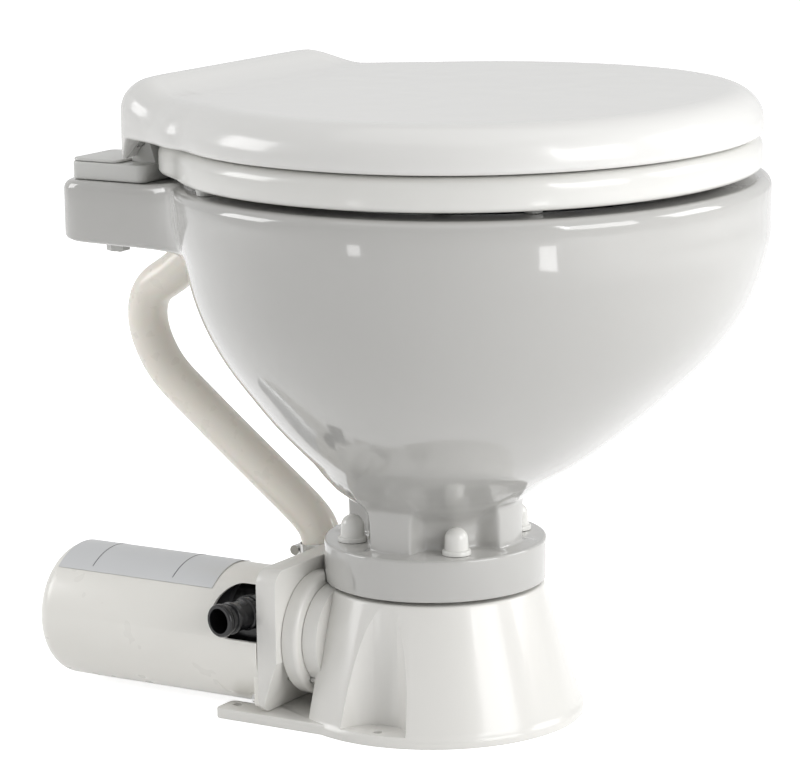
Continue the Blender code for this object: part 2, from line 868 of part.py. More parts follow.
def build_bowl(kit):
    """The ceramic bowl with its deck, rim channel, foot, niches and flush inlet."""
    bowl = kit.add("bowl", loft_mesh(bowl_rings(), closed=True), "ceramic", 40.0)
    for _, x, y, a in bolt_places():
        cut(bowl, niche_tool(kit, a))
        cut(bowl, kit.tool(rod_mesh(
            (x, y, FOOT_BOTTOM - OVERRUN), (x, y, FOOT_FLANGE_TOP + OVERRUN), BOLT_HOLE_R, 10
        )))
    join(bowl, kit.tool(rod_mesh(INLET_TIP, INLET_ROOT, INLET_R, 16)))
    tip = Vector(INLET_TIP)
    outward = (tip - Vector(INLET_ROOT)).normalized()
    cut(bowl, kit.tool(rod_mesh(tip + outward * OVERRUN, INLET_END, INLET_BORE, 12)))
    for side in (-1.0, 1.0):
        x, y = HINGE_BOLT[0], HINGE_BOLT[1] * side
        cut(bowl, kit.tool(rod_mesh(
            (x, y, HINGE_NUT[0] - OVERRUN), (x, y, DECK_TOP + OVERRUN), BOLT_HOLE_R, 10
        )))
    return bowl


def build_bowl_bolts(kit):
    """Bolts through the bowl foot, each under a domed cap."""
    head_bottom = FOOT_FLANGE_TOP + GAP
    for name, x, y, _ in bolt_places():
        bolt = kit.add(
            f"bowl_bolt_{name}",
            rod_mesh((x, y, BOLT_BOTTOM), (x, y, head_bottom + THIN_OVERRUN), BOLT_R, 10),
            "steel",
        )
        join(bolt, kit.tool(rod_mesh(
            (x, y, head_bottom), (x, y, head_bottom + BOLT_HEAD_H), BOLT_HEAD_R, 6
        )))
        profile = [(0.0, CAP_H)]
        dome = CAP_H - CAP_R
        profile += [(r, dome + h) for r, h in arc((0.0, 0.0), CAP_R, 62.0, 0.0, 3)]
        profile += [
            (CAP_R, CAP_FLANGE_H),
            (CAP_FLANGE_R, CAP_FLANGE_H - 0.0004),
            (CAP_FLANGE_R, 0.0),
            (CAP_R - CAP_WALL, 0.0),
            (CAP_R - CAP_WALL, dome),
            (CAP_R * 0.55, CAP_H - CAP_WALL * 2.4),
            (0.0, CAP_H - CAP_WALL * 1.3),
        ]
        turned(kit, f"bolt_cap_{name}", "ceramic", profile, (x, y, head_bottom), (0, 0, 1), 16, False)


def build_bowl_seal(kit):
    """The ring squeezed between bowl foot and base."""
    low, high = BASE_TOP + GAP, FOOT_BOTTOM - GAP
    profile = [
        (SEAL_OUTER, high),
        (SEAL_OUTER, low),
        (SEAL_INNER, low),
        (SEAL_INNER, high),
    ]
    turned(kit, "bowl_seal", "rubber", profile, (0, 0, 0), (0, 0, 1), 32)


def sector(inner, outer, start, end, steps=4):
    """An outline of part of a ring."""
    return arc((0.0, 0.0), outer, start, end, steps) + arc((0.0, 0.0), inner, end, start, steps)


def build_base(kit):
    """The moulded pump base: cone, sump, flat pump face, foot tabs and arch recesses."""
    profile = [
        (BASE_TOP_R - 0.0010, BASE_TOP),
        (BASE_TOP_R, BASE_TOP - 0.0010),
        (BASE_CONE_R, BASE_LEDGE),
        (BASE_FOOT_R - 0.0004, BASE_LEDGE - 0.0022),
        (BASE_FOOT_R, BASE_LEDGE - 0.0034),
        (BASE_FOOT_R, 0.0),
        (0.0, 0.0),
        (0.0, SUMP_FLOOR),
        (SUMP_R - 0.0080, SUMP_FLOOR),
        (SUMP_R, SUMP_FLOOR + 0.0080),
        (SUMP_R, BASE_TOP),
    ]
    base = kit.add("pump_base", bpy.data.meshes.new("pump_base"), "base_plastic", 32.0)
    spun(base, profile, 40)
    join(base, kit.tool(prism_mesh(
        rounded_box((FOOT_REAR, -FOOT_HALF), (0.0, FOOT_HALF), TAB_CORNER), 0.0, BASE_LEDGE
    )))
    for side in (-1.0, 1.0):
        low, high = sorted((TAB_INNER * side, FOOT_HALF * side))
        tab = rounded_box((TAB_REAR, low), (TAB_ROOT, high), TAB_CORNER)
        join(base, kit.tool(prism_mesh(tab, 0.0, BASE_LEDGE)))
    far = BASE_FOOT_R * 1.2
    cut(base, kit.tool(box_mesh((-far, -far, BASE_LEDGE), (FACE_X, far, BASE_TOP + OVERRUN))))
    join(base, kit.tool(rod_mesh(
        (RING_REAR, AXIS_Y, AXIS_Z), (FACE_X + THIN_OVERRUN, AXIS_Y, AXIS_Z), RING_R, 34
    )))
    cut(base, kit.tool(rod_mesh(
        (RING_REAR - OVERRUN, AXIS_Y, AXIS_Z), (RING_CHAMBER_FRONT, AXIS_Y, AXIS_Z), RING_CHAMBER_R, 26
    )))
    cut(base, kit.tool(rod_mesh(
        (RING_CHAMBER_FRONT - THIN_OVERRUN, THROAT[0], THROAT[1]), (0.0, THROAT[0], THROAT[1]), THROAT_R, 18
    )))
    cut(base, kit.tool(rod_mesh(
        (-BASE_FOOT_R - OVERRUN, COVER_Y, COVER_Z), (COVER_FRONT + GAP, COVER_Y, COVER_Z), COVER_R + 3.0 * GAP, 40
    )))
    for start, end in HOLLOW_SPANS:
        cut(base, kit.tool(prism_mesh(
            sector(SUMP_WALL, HOLLOW_R, start, end), -OVERRUN, HOLLOW_TOP
        )))
    for side in (-1.0, 1.0):
        x, y = RECESS_AXIS[0], RECESS_AXIS[1] * side
        cut(base, kit.tool(rod_mesh((x, y, BASE_LEDGE), (x, y, BASE_TOP + OVERRUN), RECESS_R, 26)))
        for hx, hy in (TAB_HOLE, RECESS_HOLE):
            cut(base, kit.tool(rod_mesh(
                (hx, hy * side, -OVERRUN), (hx, hy * side, BASE_LEDGE + OVERRUN), FLOOR_HOLE_R, 10
            )))
    for _, x, y, _ in bolt_places():
        cut(base, kit.tool(rod_mesh(
            (x, y, BOLT_HOLE_BOTTOM), (x, y, BASE_TOP + OVERRUN), BOLT_R + GAP, 10
        )))
    for angle, _ in PUMP_SCREWS:
        y, z = screw_place(angle)
        cut(base, kit.tool(rod_mesh(
            (FACE_X - 0.0100, y, z), (PUMP_SCREW_FRONT + THIN_OVERRUN, y, z), SCREW_R + GAP, 8
        )))
    return base


def screw_place(angle):
    """Y and Z of a pump screw."""
    return (
        AXIS_Y + PUMP_SCREW_CIRCLE * math.cos(math.radians(angle)),
        AXIS_Z + PUMP_SCREW_CIRCLE * math.sin(math.radians(angle)),
    )


def build_macerator(kit):
    """Housing with its outlet, O-ring, cutter and discharge impeller."""
    lean = math.degrees(math.asin(OUTLET_BLOCK_HALF / DISC_R))
    outline = arc((AXIS_Y, AXIS_Z), DISC_R, lean, 360.0 - lean, 32)
    outline += [
        (OUTLET_START + 0.0030, AXIS_Z - OUTLET_BLOCK_HALF),
        (OUTLET_START + 0.0030, AXIS_Z + OUTLET_BLOCK_HALF),
    ]
    housing = kit.add("macerator_housing", prism_mesh(outline, DISC_REAR, DISC_FRONT, "X"), "base_plastic")
    cut(housing, kit.tool(rod_mesh((0, 0, RELIEF_Z), (0, 0, PLATE_TOP + OVERRUN), RELIEF_R, 56)))
    groove = [
        (ORING_R + ORING_THICK, OVERRUN),
        (ORING_R + ORING_THICK, -ORING_THICK * 1.6),
        (ORING_R - ORING_THICK, -ORING_THICK * 1.6),
        (ORING_R - ORING_THICK, OVERRUN),
    ]
    cut(housing, turned_tool(kit, groove, (DISC_FRONT, AXIS_Y, AXIS_Z), (1, 0, 0), 24))
    start, end = OUTLET_START, OUTLET_END
    outer = [(0.0, end), (OUTLET_BORE + 0.0012, end)]
    for step in range(2):
        top = end - 0.0015 - 0.0075 * step
        outer += [(OUTLET_BARB, top - 0.0040), (OUTLET_R - 0.0006, top - 0.0046)]
    outer += [
        (OUTLET_R - 0.0006, start + 0.0120),
        (OUTLET_COLLAR_R, start + 0.0110),
        (OUTLET_COLLAR_R, start),
    ]
    outer += [(0.0, start)]
    join(housing, turned_tool(kit, outer, (OUTLET_X, 0.0, AXIS_Z), (0, 1, 0), 18, False))
    cut(housing, kit.tool(rod_mesh(
        (CHAMBER_REAR, AXIS_Y, AXIS_Z), (DISC_FRONT + OVERRUN, AXIS_Y, AXIS_Z), CHAMBER_R, 26
    )))
    cut(housing, kit.tool(rod_mesh(
        (DISC_REAR - OVERRUN, AXIS_Y, AXIS_Z), (DISC_FRONT, AXIS_Y, AXIS_Z), SHAFT_HOLE_R, 14
    )))
    cut(housing, kit.tool(box_mesh(
        (DUCT_REAR, AXIS_Y + CHAMBER_R * 0.8, AXIS_Z - DUCT_HALF),
        (DUCT_FRONT, OUTLET_START + 0.0060, AXIS_Z + DUCT_HALF),
    )))
    cut(housing, kit.tool(rod_mesh(
        (OUTLET_X, OUTLET_START + 0.0030, AXIS_Z), (OUTLET_X, OUTLET_END + OVERRUN, AXIS_Z), OUTLET_BORE, 14
    )))
    for angle, _ in PUMP_SCREWS:
        y, z = screw_place(angle)
        cut(housing, kit.tool(rod_mesh(
            (DISC_REAR - OVERRUN, y, z), (DISC_FRONT + OVERRUN, y, z), SCREW_R + GAP, 8
        )))
    ring = arc((ORING_R, DISC_FRONT * 0.0 - ORING_THICK * 0.62), ORING_THICK * 0.76, 360.0, 0.0, 8)[:-1]
    turned(kit, "housing_oring", "rubber", ring, (DISC_FRONT, AXIS_Y, AXIS_Z), (1, 0, 0), 24)

    cutter = kit.add(
        "macerator_blade",
        prism_mesh(blade_outline(), RING_REAR + 0.0006, RING_CHAMBER_FRONT - 0.0008, "X"),
        "steel",
    )
    cut(cutter, kit.tool(rod_mesh(
        (RING_REAR - OVERRUN, AXIS_Y, AXIS_Z), (RING_CHAMBER_FRONT + OVERRUN, AXIS_Y, AXIS_Z),
        SHAFT_R + GAP, 14,
    )))
    impeller = kit.add(
        "discharge_impeller",
        rod_mesh((CHAMBER_REAR + 0.0008, AXIS_Y, AXIS_Z), (CHAMBER_REAR + 0.0026, AXIS_Y, AXIS_Z), 0.0240, 24),
        "black_plastic",
    )
    join(impeller, kit.tool(rod_mesh(
        (CHAMBER_REAR + 0.0020, AXIS_Y, AXIS_Z), (DISC_FRONT + 0.0002, AXIS_Y, AXIS_Z), 0.0075, 24
    )))
    for index in range(5):
        vane = vane_outline(72.0 * index)
        join(impeller, kit.tool(prism_mesh(vane, CHAMBER_REAR + 0.0020, DISC_FRONT - 0.0006, "X")))
    cut(impeller, kit.tool(rod_mesh(
        (CHAMBER_REAR - OVERRUN, AXIS_Y, AXIS_Z), (DISC_FRONT + OVERRUN, AXIS_Y, AXIS_Z), SHAFT_R + GAP, 14
    )))


def blade_outline():
    """A four armed cutter in Y and Z."""
    out = []
    for arm in range(4):
        base = 90.0 * arm
        for radius, angle in ((0.0085, -38.0), (0.0205, -16.0), (0.0212, 6.0), (0.0130, 14.0), (0.0085, 30.0)):
            a = math.radians(base + angle)
            out.append((AXIS_Y + radius * math.cos(a), AXIS_Z + radius * math.sin(a)))
    return out


def vane_outline(turn):
    """One curved pump vane in Y and Z."""
    outer, inner = [], []
    for i in range(6):
        t = i / 5.0
        radius = 0.0060 + 0.0176 * t
        a = math.radians(turn + 48.0 * t)
        side = math.radians(turn + 48.0 * t + 0.0016 / radius * 57.3)
        outer.append((AXIS_Y + radius * math.cos(a), AXIS_Z + radius * math.sin(a)))
        inner.append((AXIS_Y + radius * math.cos(side), AXIS_Z + radius * math.sin(side)))
    return outer + inner[::-1]


def build_bracket(kit):
    """The square plate that carries pump and motor, its seal and screws."""
    outline = rounded_box((PLATE_NEAR, PLATE_BOTTOM), (PLATE_FAR, PLATE_TOP), PLATE_CORNER, 4)
    plate = kit.add("pump_bracket", prism_mesh(outline, PLATE_REAR, PLATE_FRONT, "X"), "base_plastic")
    edge = plate.modifiers.new("edges", "BEVEL")
    edge.width = PLATE_EDGE
    edge.segments = 1
    edge.limit_method = "ANGLE"
    edge.angle_limit = math.radians(60.0)
    cut(plate, kit.tool(rod_mesh((0, 0, RELIEF_Z), (0, 0, PLATE_TOP + OVERRUN), RELIEF_R, 56)))
    taper = [
        (PLATE_FRONT + OVERRUN, PLATE_TAPER_TOP),
        (PLATE_FRONT, PLATE_TAPER_TOP),
        (PLATE_TAPER_X, PLATE_BOTTOM),
        (PLATE_TAPER_X, PLATE_BOTTOM - OVERRUN),
        (PLATE_FRONT + OVERRUN, PLATE_BOTTOM - OVERRUN),
    ]
    cut(plate, kit.tool(prism_mesh(taper, PLATE_NEAR - OVERRUN, PLATE_FAR + OVERRUN, "Y")))
    cut(plate, kit.tool(rod_mesh(
        (PLATE_REAR - OVERRUN, AXIS_Y, AXIS_Z), (PLATE_FRONT + OVERRUN, AXIS_Y, AXIS_Z), SEAL_BORE_R, 20
    )))
    for angle, name in PUMP_SCREWS:
        y, z = screw_place(angle)
        cut(plate, kit.tool(rod_mesh(
            (PLATE_REAR - OVERRUN, y, z), (PLATE_FRONT + OVERRUN, y, z), SCREW_R + GAP, 8
        )))
        cut(plate, kit.tool(rod_mesh(
            (PLATE_REAR - OVERRUN, y, z), (PLATE_REAR + SCREW_HEAD_H + 2.0 * GAP, y, z), SCREW_HEAD_R + GAP, 12
        )))
        screw = kit.add(
            f"pump_screw_{name}",
            rod_mesh((PLATE_REAR + THIN_OVERRUN, y, z), (PUMP_SCREW_FRONT, y, z), SCREW_R, 8),
            "steel",
        )
        join(screw, kit.tool(rod_mesh(
            (PLATE_REAR + GAP, y, z), (PLATE_REAR + SCREW_HEAD_H + GAP, y, z), SCREW_HEAD_R, 12
        )))
        cut(screw, kit.tool(rod_mesh(
            (PLATE_REAR - THIN_OVERRUN, y, z), (PLATE_REAR + 0.0018, y, z), 0.0017, 6
        )))
    for side, name in ((-1.0, "near"), (1.0, "far")):
        y, z = COVER_Y + LUG_SCREW[0] * side, LUG_SCREW[1]
        front = PLATE_REAR + LUG_SCREW_DEPTH
        cut(plate, kit.tool(rod_mesh((PLATE_REAR - OVERRUN, y, z), (front + GAP, y, z), LUG_SCREW_R + GAP, 8)))
        head = COVER_FRONT - LUG_THICK - GAP
        head_r, head_h = LUG_SCREW_HEAD
        start = head - 0.5 * head_h
        screw = kit.add(f"cover_screw_{name}", rod_mesh((start, y, z), (front, y, z), LUG_SCREW_R, 8), "steel")
        join(screw, kit.tool(rod_mesh((head - head_h, y, z), (head, y, z), head_r, 12)))
    seal = [
        (0.0095, 0.0),
        (0.0095, -0.0100),
        (0.0043, -0.0100),
        (0.0043, -0.0085),
        (0.0070, -0.0075),
        (0.0070, -0.0015),
        (0.0043, 0.0),
    ]
    turned(kit, "shaft_seal", "rubber", seal, (PLATE_FRONT - 0.0015, AXIS_Y, AXIS_Z), (1, 0, 0), 20)


def port_direction():
    """Unit direction of the water inlet."""
    a = math.radians(IN_ANGLE)
    return Vector((-math.sin(a), -math.cos(a), 0.0))


def build_water_pump(kit):
    """The raw water pump behind the plate: body, impeller, inlet barb and outlet elbow."""
    body = kit.add(
        "water_pump_body",
        rod_mesh((BODY_REAR, AXIS_Y, AXIS_Z), (BODY_FRONT, AXIS_Y, AXIS_Z), BODY_R, 32),
        "black_plastic",
    )
    tip = Vector(IN_END)
    run = port_direction()
    boss_end = tip - run * IN_BOSS_END
    inner = tip - run * (IN_STEM_END + 0.0100)
    join(body, kit.tool(rod_mesh(inner, boss_end, PORT_BOSS_R, 18)))
    join(body, kit.tool(rod_mesh(
        (OUT_X, AXIS_Y + 0.0050, PORT_Z), (OUT_X, OUT_BOSS_END, PORT_Z), PORT_BOSS_R, 18
    )))
    wide = BODY_R * 2.0
    cut(body, kit.tool(box_mesh(
        (BODY_FRONT, AXIS_Y - wide, AXIS_Z - wide), (BODY_FRONT + wide, AXIS_Y + wide, AXIS_Z + wide)
    )))
    cut(body, kit.tool(rod_mesh(
        (BODY_CHAMBER_REAR, AXIS_Y, AXIS_Z), (BODY_FRONT + OVERRUN, AXIS_Y, AXIS_Z), BODY_CHAMBER_R, 30
    )))
    cut(body, kit.tool(rod_mesh(
        (BODY_REAR - OVERRUN, AXIS_Y, AXIS_Z), (BODY_FRONT, AXIS_Y, AXIS_Z), SHAFT_HOLE_R, 14
    )))
    stem = tip - run * IN_STEM_END
    cut(body, kit.tool(rod_mesh(stem - run * GAP, boss_end + run * OVERRUN, PORT_SOCKET_R, 16)))
    cut(body, kit.tool(rod_mesh(stem - run * 0.0120, stem, PORT_BORE, 12)))
    cut(body, kit.tool(rod_mesh(
        (OUT_X, OUT_STEM_START - GAP, PORT_Z), (OUT_X, OUT_BOSS_END + OVERRUN, PORT_Z), OUT_SOCKET_R, 18
    )))
    cut(body, kit.tool(rod_mesh(
        (OUT_X, AXIS_Y + 0.0060, PORT_Z), (OUT_X, OUT_STEM_START, PORT_Z), PORT_BORE, 12
    )))
    total = IN_STEM_END
    collar = IN_STEM_END - IN_BOSS_END + GAP
    profile = [
        (IN_BORE_R, total),
        (IN_END_R - 0.0008, total),
        (IN_END_R, total - 0.0010),
        (IN_END_R, total - 0.0030),
        (IN_TUBE_R, total - 0.0052),
        (IN_TUBE_R, total - 0.0080),
        (IN_END_R - 0.0004, total - 0.0084),
        (IN_TUBE_R + 0.0003, total - 0.0140),
        (IN_TUBE_R + 0.0003, collar + IN_COLLAR),
        (PORT_BOSS_R - 0.0006, collar + IN_COLLAR - 0.0006),
        (PORT_BOSS_R - 0.0006, collar),
        (PORT_STEM_R, collar),
        (PORT_STEM_R, 0.0),
        (PORT_BORE, 0.0),
        (PORT_BORE, collar + 0.0040),
        (IN_BORE_R, collar + 0.0060),
    ]
    turned(kit, "inlet_barb", "black_plastic", profile, stem, run, 20)
    build_outlet_elbow(kit)
    hub = [(0.0085, 0.0), (0.0085, -0.0190), (SHAFT_R + GAP, -0.0190), (SHAFT_R + GAP, 0.0)]
    impeller = turned(
        kit, "flush_impeller", "rubber", hub, (BODY_FRONT - 0.0012, AXIS_Y, AXIS_Z), (1, 0, 0), 32
    )
    lay_vanes(kit, impeller)


def lay_vanes(kit, impeller):
    """Straight vanes with round tips on the rubber impeller."""
    front, rear = BODY_FRONT - 0.0012, BODY_FRONT - 0.0202
    for index in range(6):
        a = math.radians(60.0 * index + 20.0)
        along = (math.cos(a), math.sin(a))
        side = (-math.sin(a), math.cos(a))
        outline = []
        for reach, half in ((0.0070, 0.0012), (0.0198, 0.0009), (0.0212, 0.0), (0.0198, -0.0009), (0.0070, -0.0012)):
            outline.append((
                AXIS_Y + along[0] * reach + side[0] * half,
                AXIS_Z + along[1] * reach + side[1] * half,
            ))
        tool = kit.tool(prism_mesh(outline, rear, front, "X"))
        join(impeller, tool)


def build_outlet_elbow(kit):
    """The flush outlet: a stem from the pump, a turn, and a barb up into the hose."""
    corner = Vector((OUT_X, OUT_TURN_Y, PORT_Z))
    top = Vector(OUT_TOP)
    run = (top - corner).normalized()
    start = Vector((OUT_X, OUT_STEM_START, PORT_Z))
    into = (corner - start).normalized()
    first, last = corner - into * OUT_BEND, corner + run * OUT_BEND
    bend = []
    for step in range(6):
        t = step / 5.0
        bend.append(first * (1.0 - t) ** 2 + corner * 2.0 * t * (1.0 - t) + last * t * t)
    elbow = kit.add("outlet_elbow", rod_path([start] + bend + [top], OUT_TUBE_R, 18), "black_plastic")
    for back in (0.0060,):
        high = top - run * (back - 0.0040)
        low = top - run * back
        join(elbow, kit.tool(rod_mesh(low, high, OUT_BARB_R, 20, OUT_TUBE_R - 0.0004)))
    bore = [start - into * OVERRUN] + bend + [top + run * OVERRUN]
    cut(elbow, kit.tool(rod_path(bore, PORT_BORE, 14)))


def build_motor(kit):
    """Motor: can, end bell, bearings, shaft, armature and magnets."""
    axis = (0.0, AXIS_Y, AXIS_Z)
    can = [
        (CAN_R, CAN_FRONT),
        (CAN_R, CAN_REAR + 0.0020),
        (CAN_R - 0.0020, CAN_REAR),
        (0.0, CAN_REAR),
        (0.0, CAN_REAR + CAN_WALL),
        (BEARING_R + GAP, CAN_REAR + CAN_WALL),
        (BEARING_R + GAP, CAN_REAR + 0.0095),
        (BEARING_R + 0.0030, CAN_REAR + 0.0095),
        (BEARING_R + 0.0030, CAN_REAR + CAN_WALL),
        (CAN_R - CAN_WALL, CAN_REAR + CAN_WALL),
        (CAN_R - CAN_WALL, CAN_FRONT),
    ]
    turned(kit, "motor_can", "dark_iron", can, axis, (1, 0, 0), 28)
    bell = [
        (CAN_R, BELL_FLANGE_FRONT),
        (CAN_R, CAN_FRONT + GAP),
        (CAN_R - CAN_WALL - GAP, CAN_FRONT + GAP),
        (CAN_R - CAN_WALL - GAP, BELL_SPIGOT_REAR),
        (BEARING_R + GAP, BELL_SPIGOT_REAR),
        (BEARING_R + GAP, BELL_FLANGE_FRONT - 0.0020),
        (SHAFT_HOLE_R, BELL_FLANGE_FRONT - 0.0020),
        (SHAFT_HOLE_R, BELL_FLANGE_FRONT),
    ]
    turned(kit, "motor_end_bell", "dark_iron", bell, axis, (1, 0, 0), 24)
    for name, rear, front in (
        ("bearing_front", BELL_SPIGOT_REAR + 0.0002, BELL_FLANGE_FRONT - 0.0023),
        ("bearing_rear", CAN_REAR + CAN_WALL + 0.0006, CAN_REAR + 0.0085),
    ):
        ring = [(BEARING_R, front), (BEARING_R, rear), (BEARING_IN, rear), (BEARING_IN, front)]
        turned(kit, name, "steel", ring, axis, (1, 0, 0), 20)
    kit.add(
        "motor_shaft",
        rod_mesh((SHAFT_REAR, AXIS_Y, AXIS_Z), (SHAFT_FRONT, AXIS_Y, AXIS_Z), SHAFT_R, 16),
        "steel",
    )
    teeth = []
    for index in range(8):
        for radius, angle in ((0.0130, -18.0), (0.0180, -17.0), (ARMATURE_R, -19.0), (ARMATURE_R, 0.0),
                              (ARMATURE_R, 19.0), (0.0180, 17.0), (0.0130, 18.0)):
            a = math.radians(45.0 * index + angle)
            teeth.append((AXIS_Y + radius * math.cos(a), AXIS_Z + radius * math.sin(a)))
    armature = kit.add("armature", prism_mesh(teeth, *ARMATURE_SPAN, axis="X"), "copper")
    join(armature, kit.tool(rod_mesh(
        (ARMATURE_SPAN[1] - THIN_OVERRUN, AXIS_Y, AXIS_Z), (ARMATURE_SPAN[1] + 0.0140, AXIS_Y, AXIS_Z), 0.0100, 32
    )))
    cut(armature, kit.tool(rod_mesh(
        (ARMATURE_SPAN[0] - OVERRUN, AXIS_Y, AXIS_Z), (ARMATURE_SPAN[1] + 0.0200, AXIS_Y, AXIS_Z),
        SHAFT_R + GAP, 14,
    )))
    for name, centre in (("magnet_near", 180.0), ("magnet_far", 0.0)):
        outline = [
            (AXIS_Y + a, AXIS_Z + b)
            for a, b in sector(
                MAGNET_IN, MAGNET_OUT, centre - MAGNET_HALF_ANGLE, centre + MAGNET_HALF_ANGLE, 12
            )
        ]
        kit.add(name, prism_mesh(outline, *ARMATURE_SPAN, axis="X"), "dark_iron")


def build_cover(kit):
    """The white motor cover with its notches, lugs, cable gland and label."""
    rear = COVER_REAR
    profile = [(COVER_R, COVER_FRONT)]
    profile += arc((COVER_R - COVER_ROUND, rear + COVER_ROUND), COVER_ROUND, 0.0, -90.0, 4)
    profile += [(0.0, rear), (0.0, rear + COVER_WALL)]
    inner = arc(
        (COVER_R - COVER_ROUND, rear + COVER_ROUND), COVER_ROUND - COVER_WALL, -90.0, 0.0, 4
    )
    profile += inner + [(COVER_R - COVER_WALL, COVER_FRONT)]
    cover = kit.add("motor_cover", bpy.data.meshes.new("motor_cover"), "cover_plastic")
    spun(cover, profile, 40)
    lay_along(cover, (0.0, COVER_Y, COVER_Z), (1, 0, 0))
    for side in (-1.0, 1.0):
        low, high = sorted((COVER_Y + LUG_SIDE * side, COVER_Y + LUG_INNER * side))
        lug = kit.tool(prism_mesh(
            rounded_box((low, LUG_BOTTOM), (high, LUG_TOP), LUG_CORNER, 3),
            COVER_FRONT - LUG_THICK, COVER_FRONT, "X",
        ))
        hollow = kit.tool(rod_mesh(
            (COVER_FRONT - LUG_THICK - OVERRUN, COVER_Y, COVER_Z), (COVER_FRONT + OVERRUN, COVER_Y, COVER_Z),
            COVER_R - THIN_OVERRUN, 48,
        ))
        cut(lug, hollow)
        join(cover, lug)
        y, z = COVER_Y + LUG_SCREW[0] * side, LUG_SCREW[1]
        cut(cover, kit.tool(rod_mesh(
            (COVER_FRONT - LUG_THICK - OVERRUN, y, z), (COVER_FRONT + OVERRUN, y, z), LUG_HOLE_R, 8
        )))
        round_r = (NOTCH_HIGH - NOTCH_LOW) / 2.0
        mid = (NOTCH_HIGH + NOTCH_LOW) / 2.0
        notch = [(COVER_FRONT + OVERRUN, NOTCH_LOW)]
        notch += [(x, z) for x, z in arc((NOTCH_REAR + round_r, mid), round_r, 270.0, 90.0, 12)]
        if side < 0.0:
            tab = COVER_FRONT - NOTCH_TAB[0]
            notch += [(tab, NOTCH_HIGH), (tab, NOTCH_HIGH - NOTCH_TAB[1]), (COVER_FRONT + OVERRUN, NOTCH_HIGH - NOTCH_TAB[1])]
        else:
            notch += [(COVER_FRONT + OVERRUN, NOTCH_HIGH)]
        low, high = sorted((COVER_Y + NOTCH_INNER * side, COVER_Y + (COVER_R + OVERRUN) * side))
        cut(cover, kit.tool(prism_mesh(notch, low, high, "Y")))
    cut(cover, kit.tool(rod_mesh(
        (rear - OVERRUN, COVER_Y, GLAND_Z), (rear + OVERRUN, COVER_Y, GLAND_Z), GLAND_R + GAP, 24
    )))
    flange = GLAND_R + 0.0020
    gland = [
        (flange - 0.0008, -0.0030),
        (flange, -0.0022),
        (flange, -GAP),
        (GLAND_R, -GAP),
        (GLAND_R, COVER_WALL + GAP),
        (flange, COVER_WALL + GAP),
        (flange - 0.0010, COVER_WALL + 0.0020),
        (0.0022, COVER_WALL + 0.0020),
        (0.0022, -0.0030),
    ]
    gland = gland[::-1]
    turned(kit, "cable_gland", "black_plastic", gland, (rear, COVER_Y, GLAND_Z), (1, 0, 0), 14)
    inner_r = COVER_R + GAP
    outline = [
        (COVER_Y - a, COVER_Z + b)
        for a, b in sector(inner_r, inner_r + LABEL_THICK, LABEL_ANGLES[0], LABEL_ANGLES[1], 14)
    ]
    kit.add("rating_label", prism_mesh(outline, *LABEL_SPAN, axis="X"), "silver_film")


def build_hose(kit):
    """The flush hose from pump outlet to bowl inlet, with a clamp at each end."""
    path = smooth_path(HOSE_POINTS, 2)
    hose = kit.add("flush_hose", rod_path(path, HOSE_R, 14, False), "hose_vinyl", 60.0)
    shell = hose.modifiers.new("wall", "SOLIDIFY")
    shell.thickness = HOSE_WALL
    shell.offset = -1.0
    shell.use_even_offset = True
    ends = (
        ("hose_clamp_low", Vector(HOSE_POINTS[0]), Vector(HOSE_POINTS[1])),
        ("hose_clamp_top", Vector(HOSE_POINTS[-1]), Vector(HOSE_POINTS[-2])),
    )
    inner = HOSE_R + 2.0 * GAP
    for name, start, toward in ends:
        run = (toward - start).normalized()
        place = start + run * 0.0020
        band = [
            (inner + CLAMP_THICK, CLAMP_WIDTH),
            (inner + CLAMP_THICK, 0.0),
            (inner, 0.0),
            (inner, CLAMP_WIDTH),
        ]
        clamp = turned(kit, name, "steel", band, place, run, 28)
        side = run.cross(Vector((0.0, 1.0, 0.0))).normalized()
        centre = place + run * (CLAMP_WIDTH / 2.0) + side * (inner + CLAMP_THICK + CLAMP_SCREW_R * 0.8)
        across = Vector((0.0, 1.0, 0.0)) * CLAMP_SCREW_LENGTH / 2.0
        join(clamp, kit.tool(rod_mesh(centre - across, centre + across, CLAMP_SCREW_R, 12)))


def outline_half(ellipse, end_x, tail, step=7.5):
    """Half outline from the front point back to the rear middle, as x and y."""
    half, centre, front, rear = ellipse
    out = []
    count = int(180.0 / step)
    for i in range(count + 1):
        a = math.radians(step * i)
        ca, sa = math.cos(a), math.sin(a)
        x = centre + math.copysign(abs(ca) ** (2.0 / BOWL_POWER), ca) * (front if ca > 0.0 else rear)
        y = half * abs(sa) ** (2.0 / BOWL_POWER)
        if x < end_x:
            break
        out.append((x, y))
    return out + list(tail)


def full_outline(half):
    """Mirror a half outline about the X axis into a closed loop."""
    inner = [(x, -y) for x, y in reversed(half[1:-1])]
    return half + inner


def resample(points, count):
    """Equal steps along a closed smooth loop."""
    loop = [Vector((x, y, 0.0)) for x, y in points]
    lengths = [0.0]
    for i in range(len(loop)):
        lengths.append(lengths[-1] + (loop[(i + 1) % len(loop)] - loop[i]).length)
    total = lengths[-1]
    out = []
    for k in range(count):
        want = total * k / count
        i = max(j for j in range(len(loop)) if lengths[j] <= want)
        span = lengths[i + 1] - lengths[i]
        t = 0.0 if span == 0.0 else (want - lengths[i]) / span
        p0 = loop[(i - 1) % len(loop)]
        p1 = loop[i]
        p2 = loop[(i + 1) % len(loop)]
        p3 = loop[(i + 2) % len(loop)]
        point = 0.5 * (
            2.0 * p1 + (p2 - p0) * t
            + (2.0 * p0 - 5.0 * p1 + 4.0 * p2 - p3) * t * t
            + (3.0 * p1 - p0 - 3.0 * p2 + p3) * t ** 3
        )
        out.append((point.x, point.y))
    return out


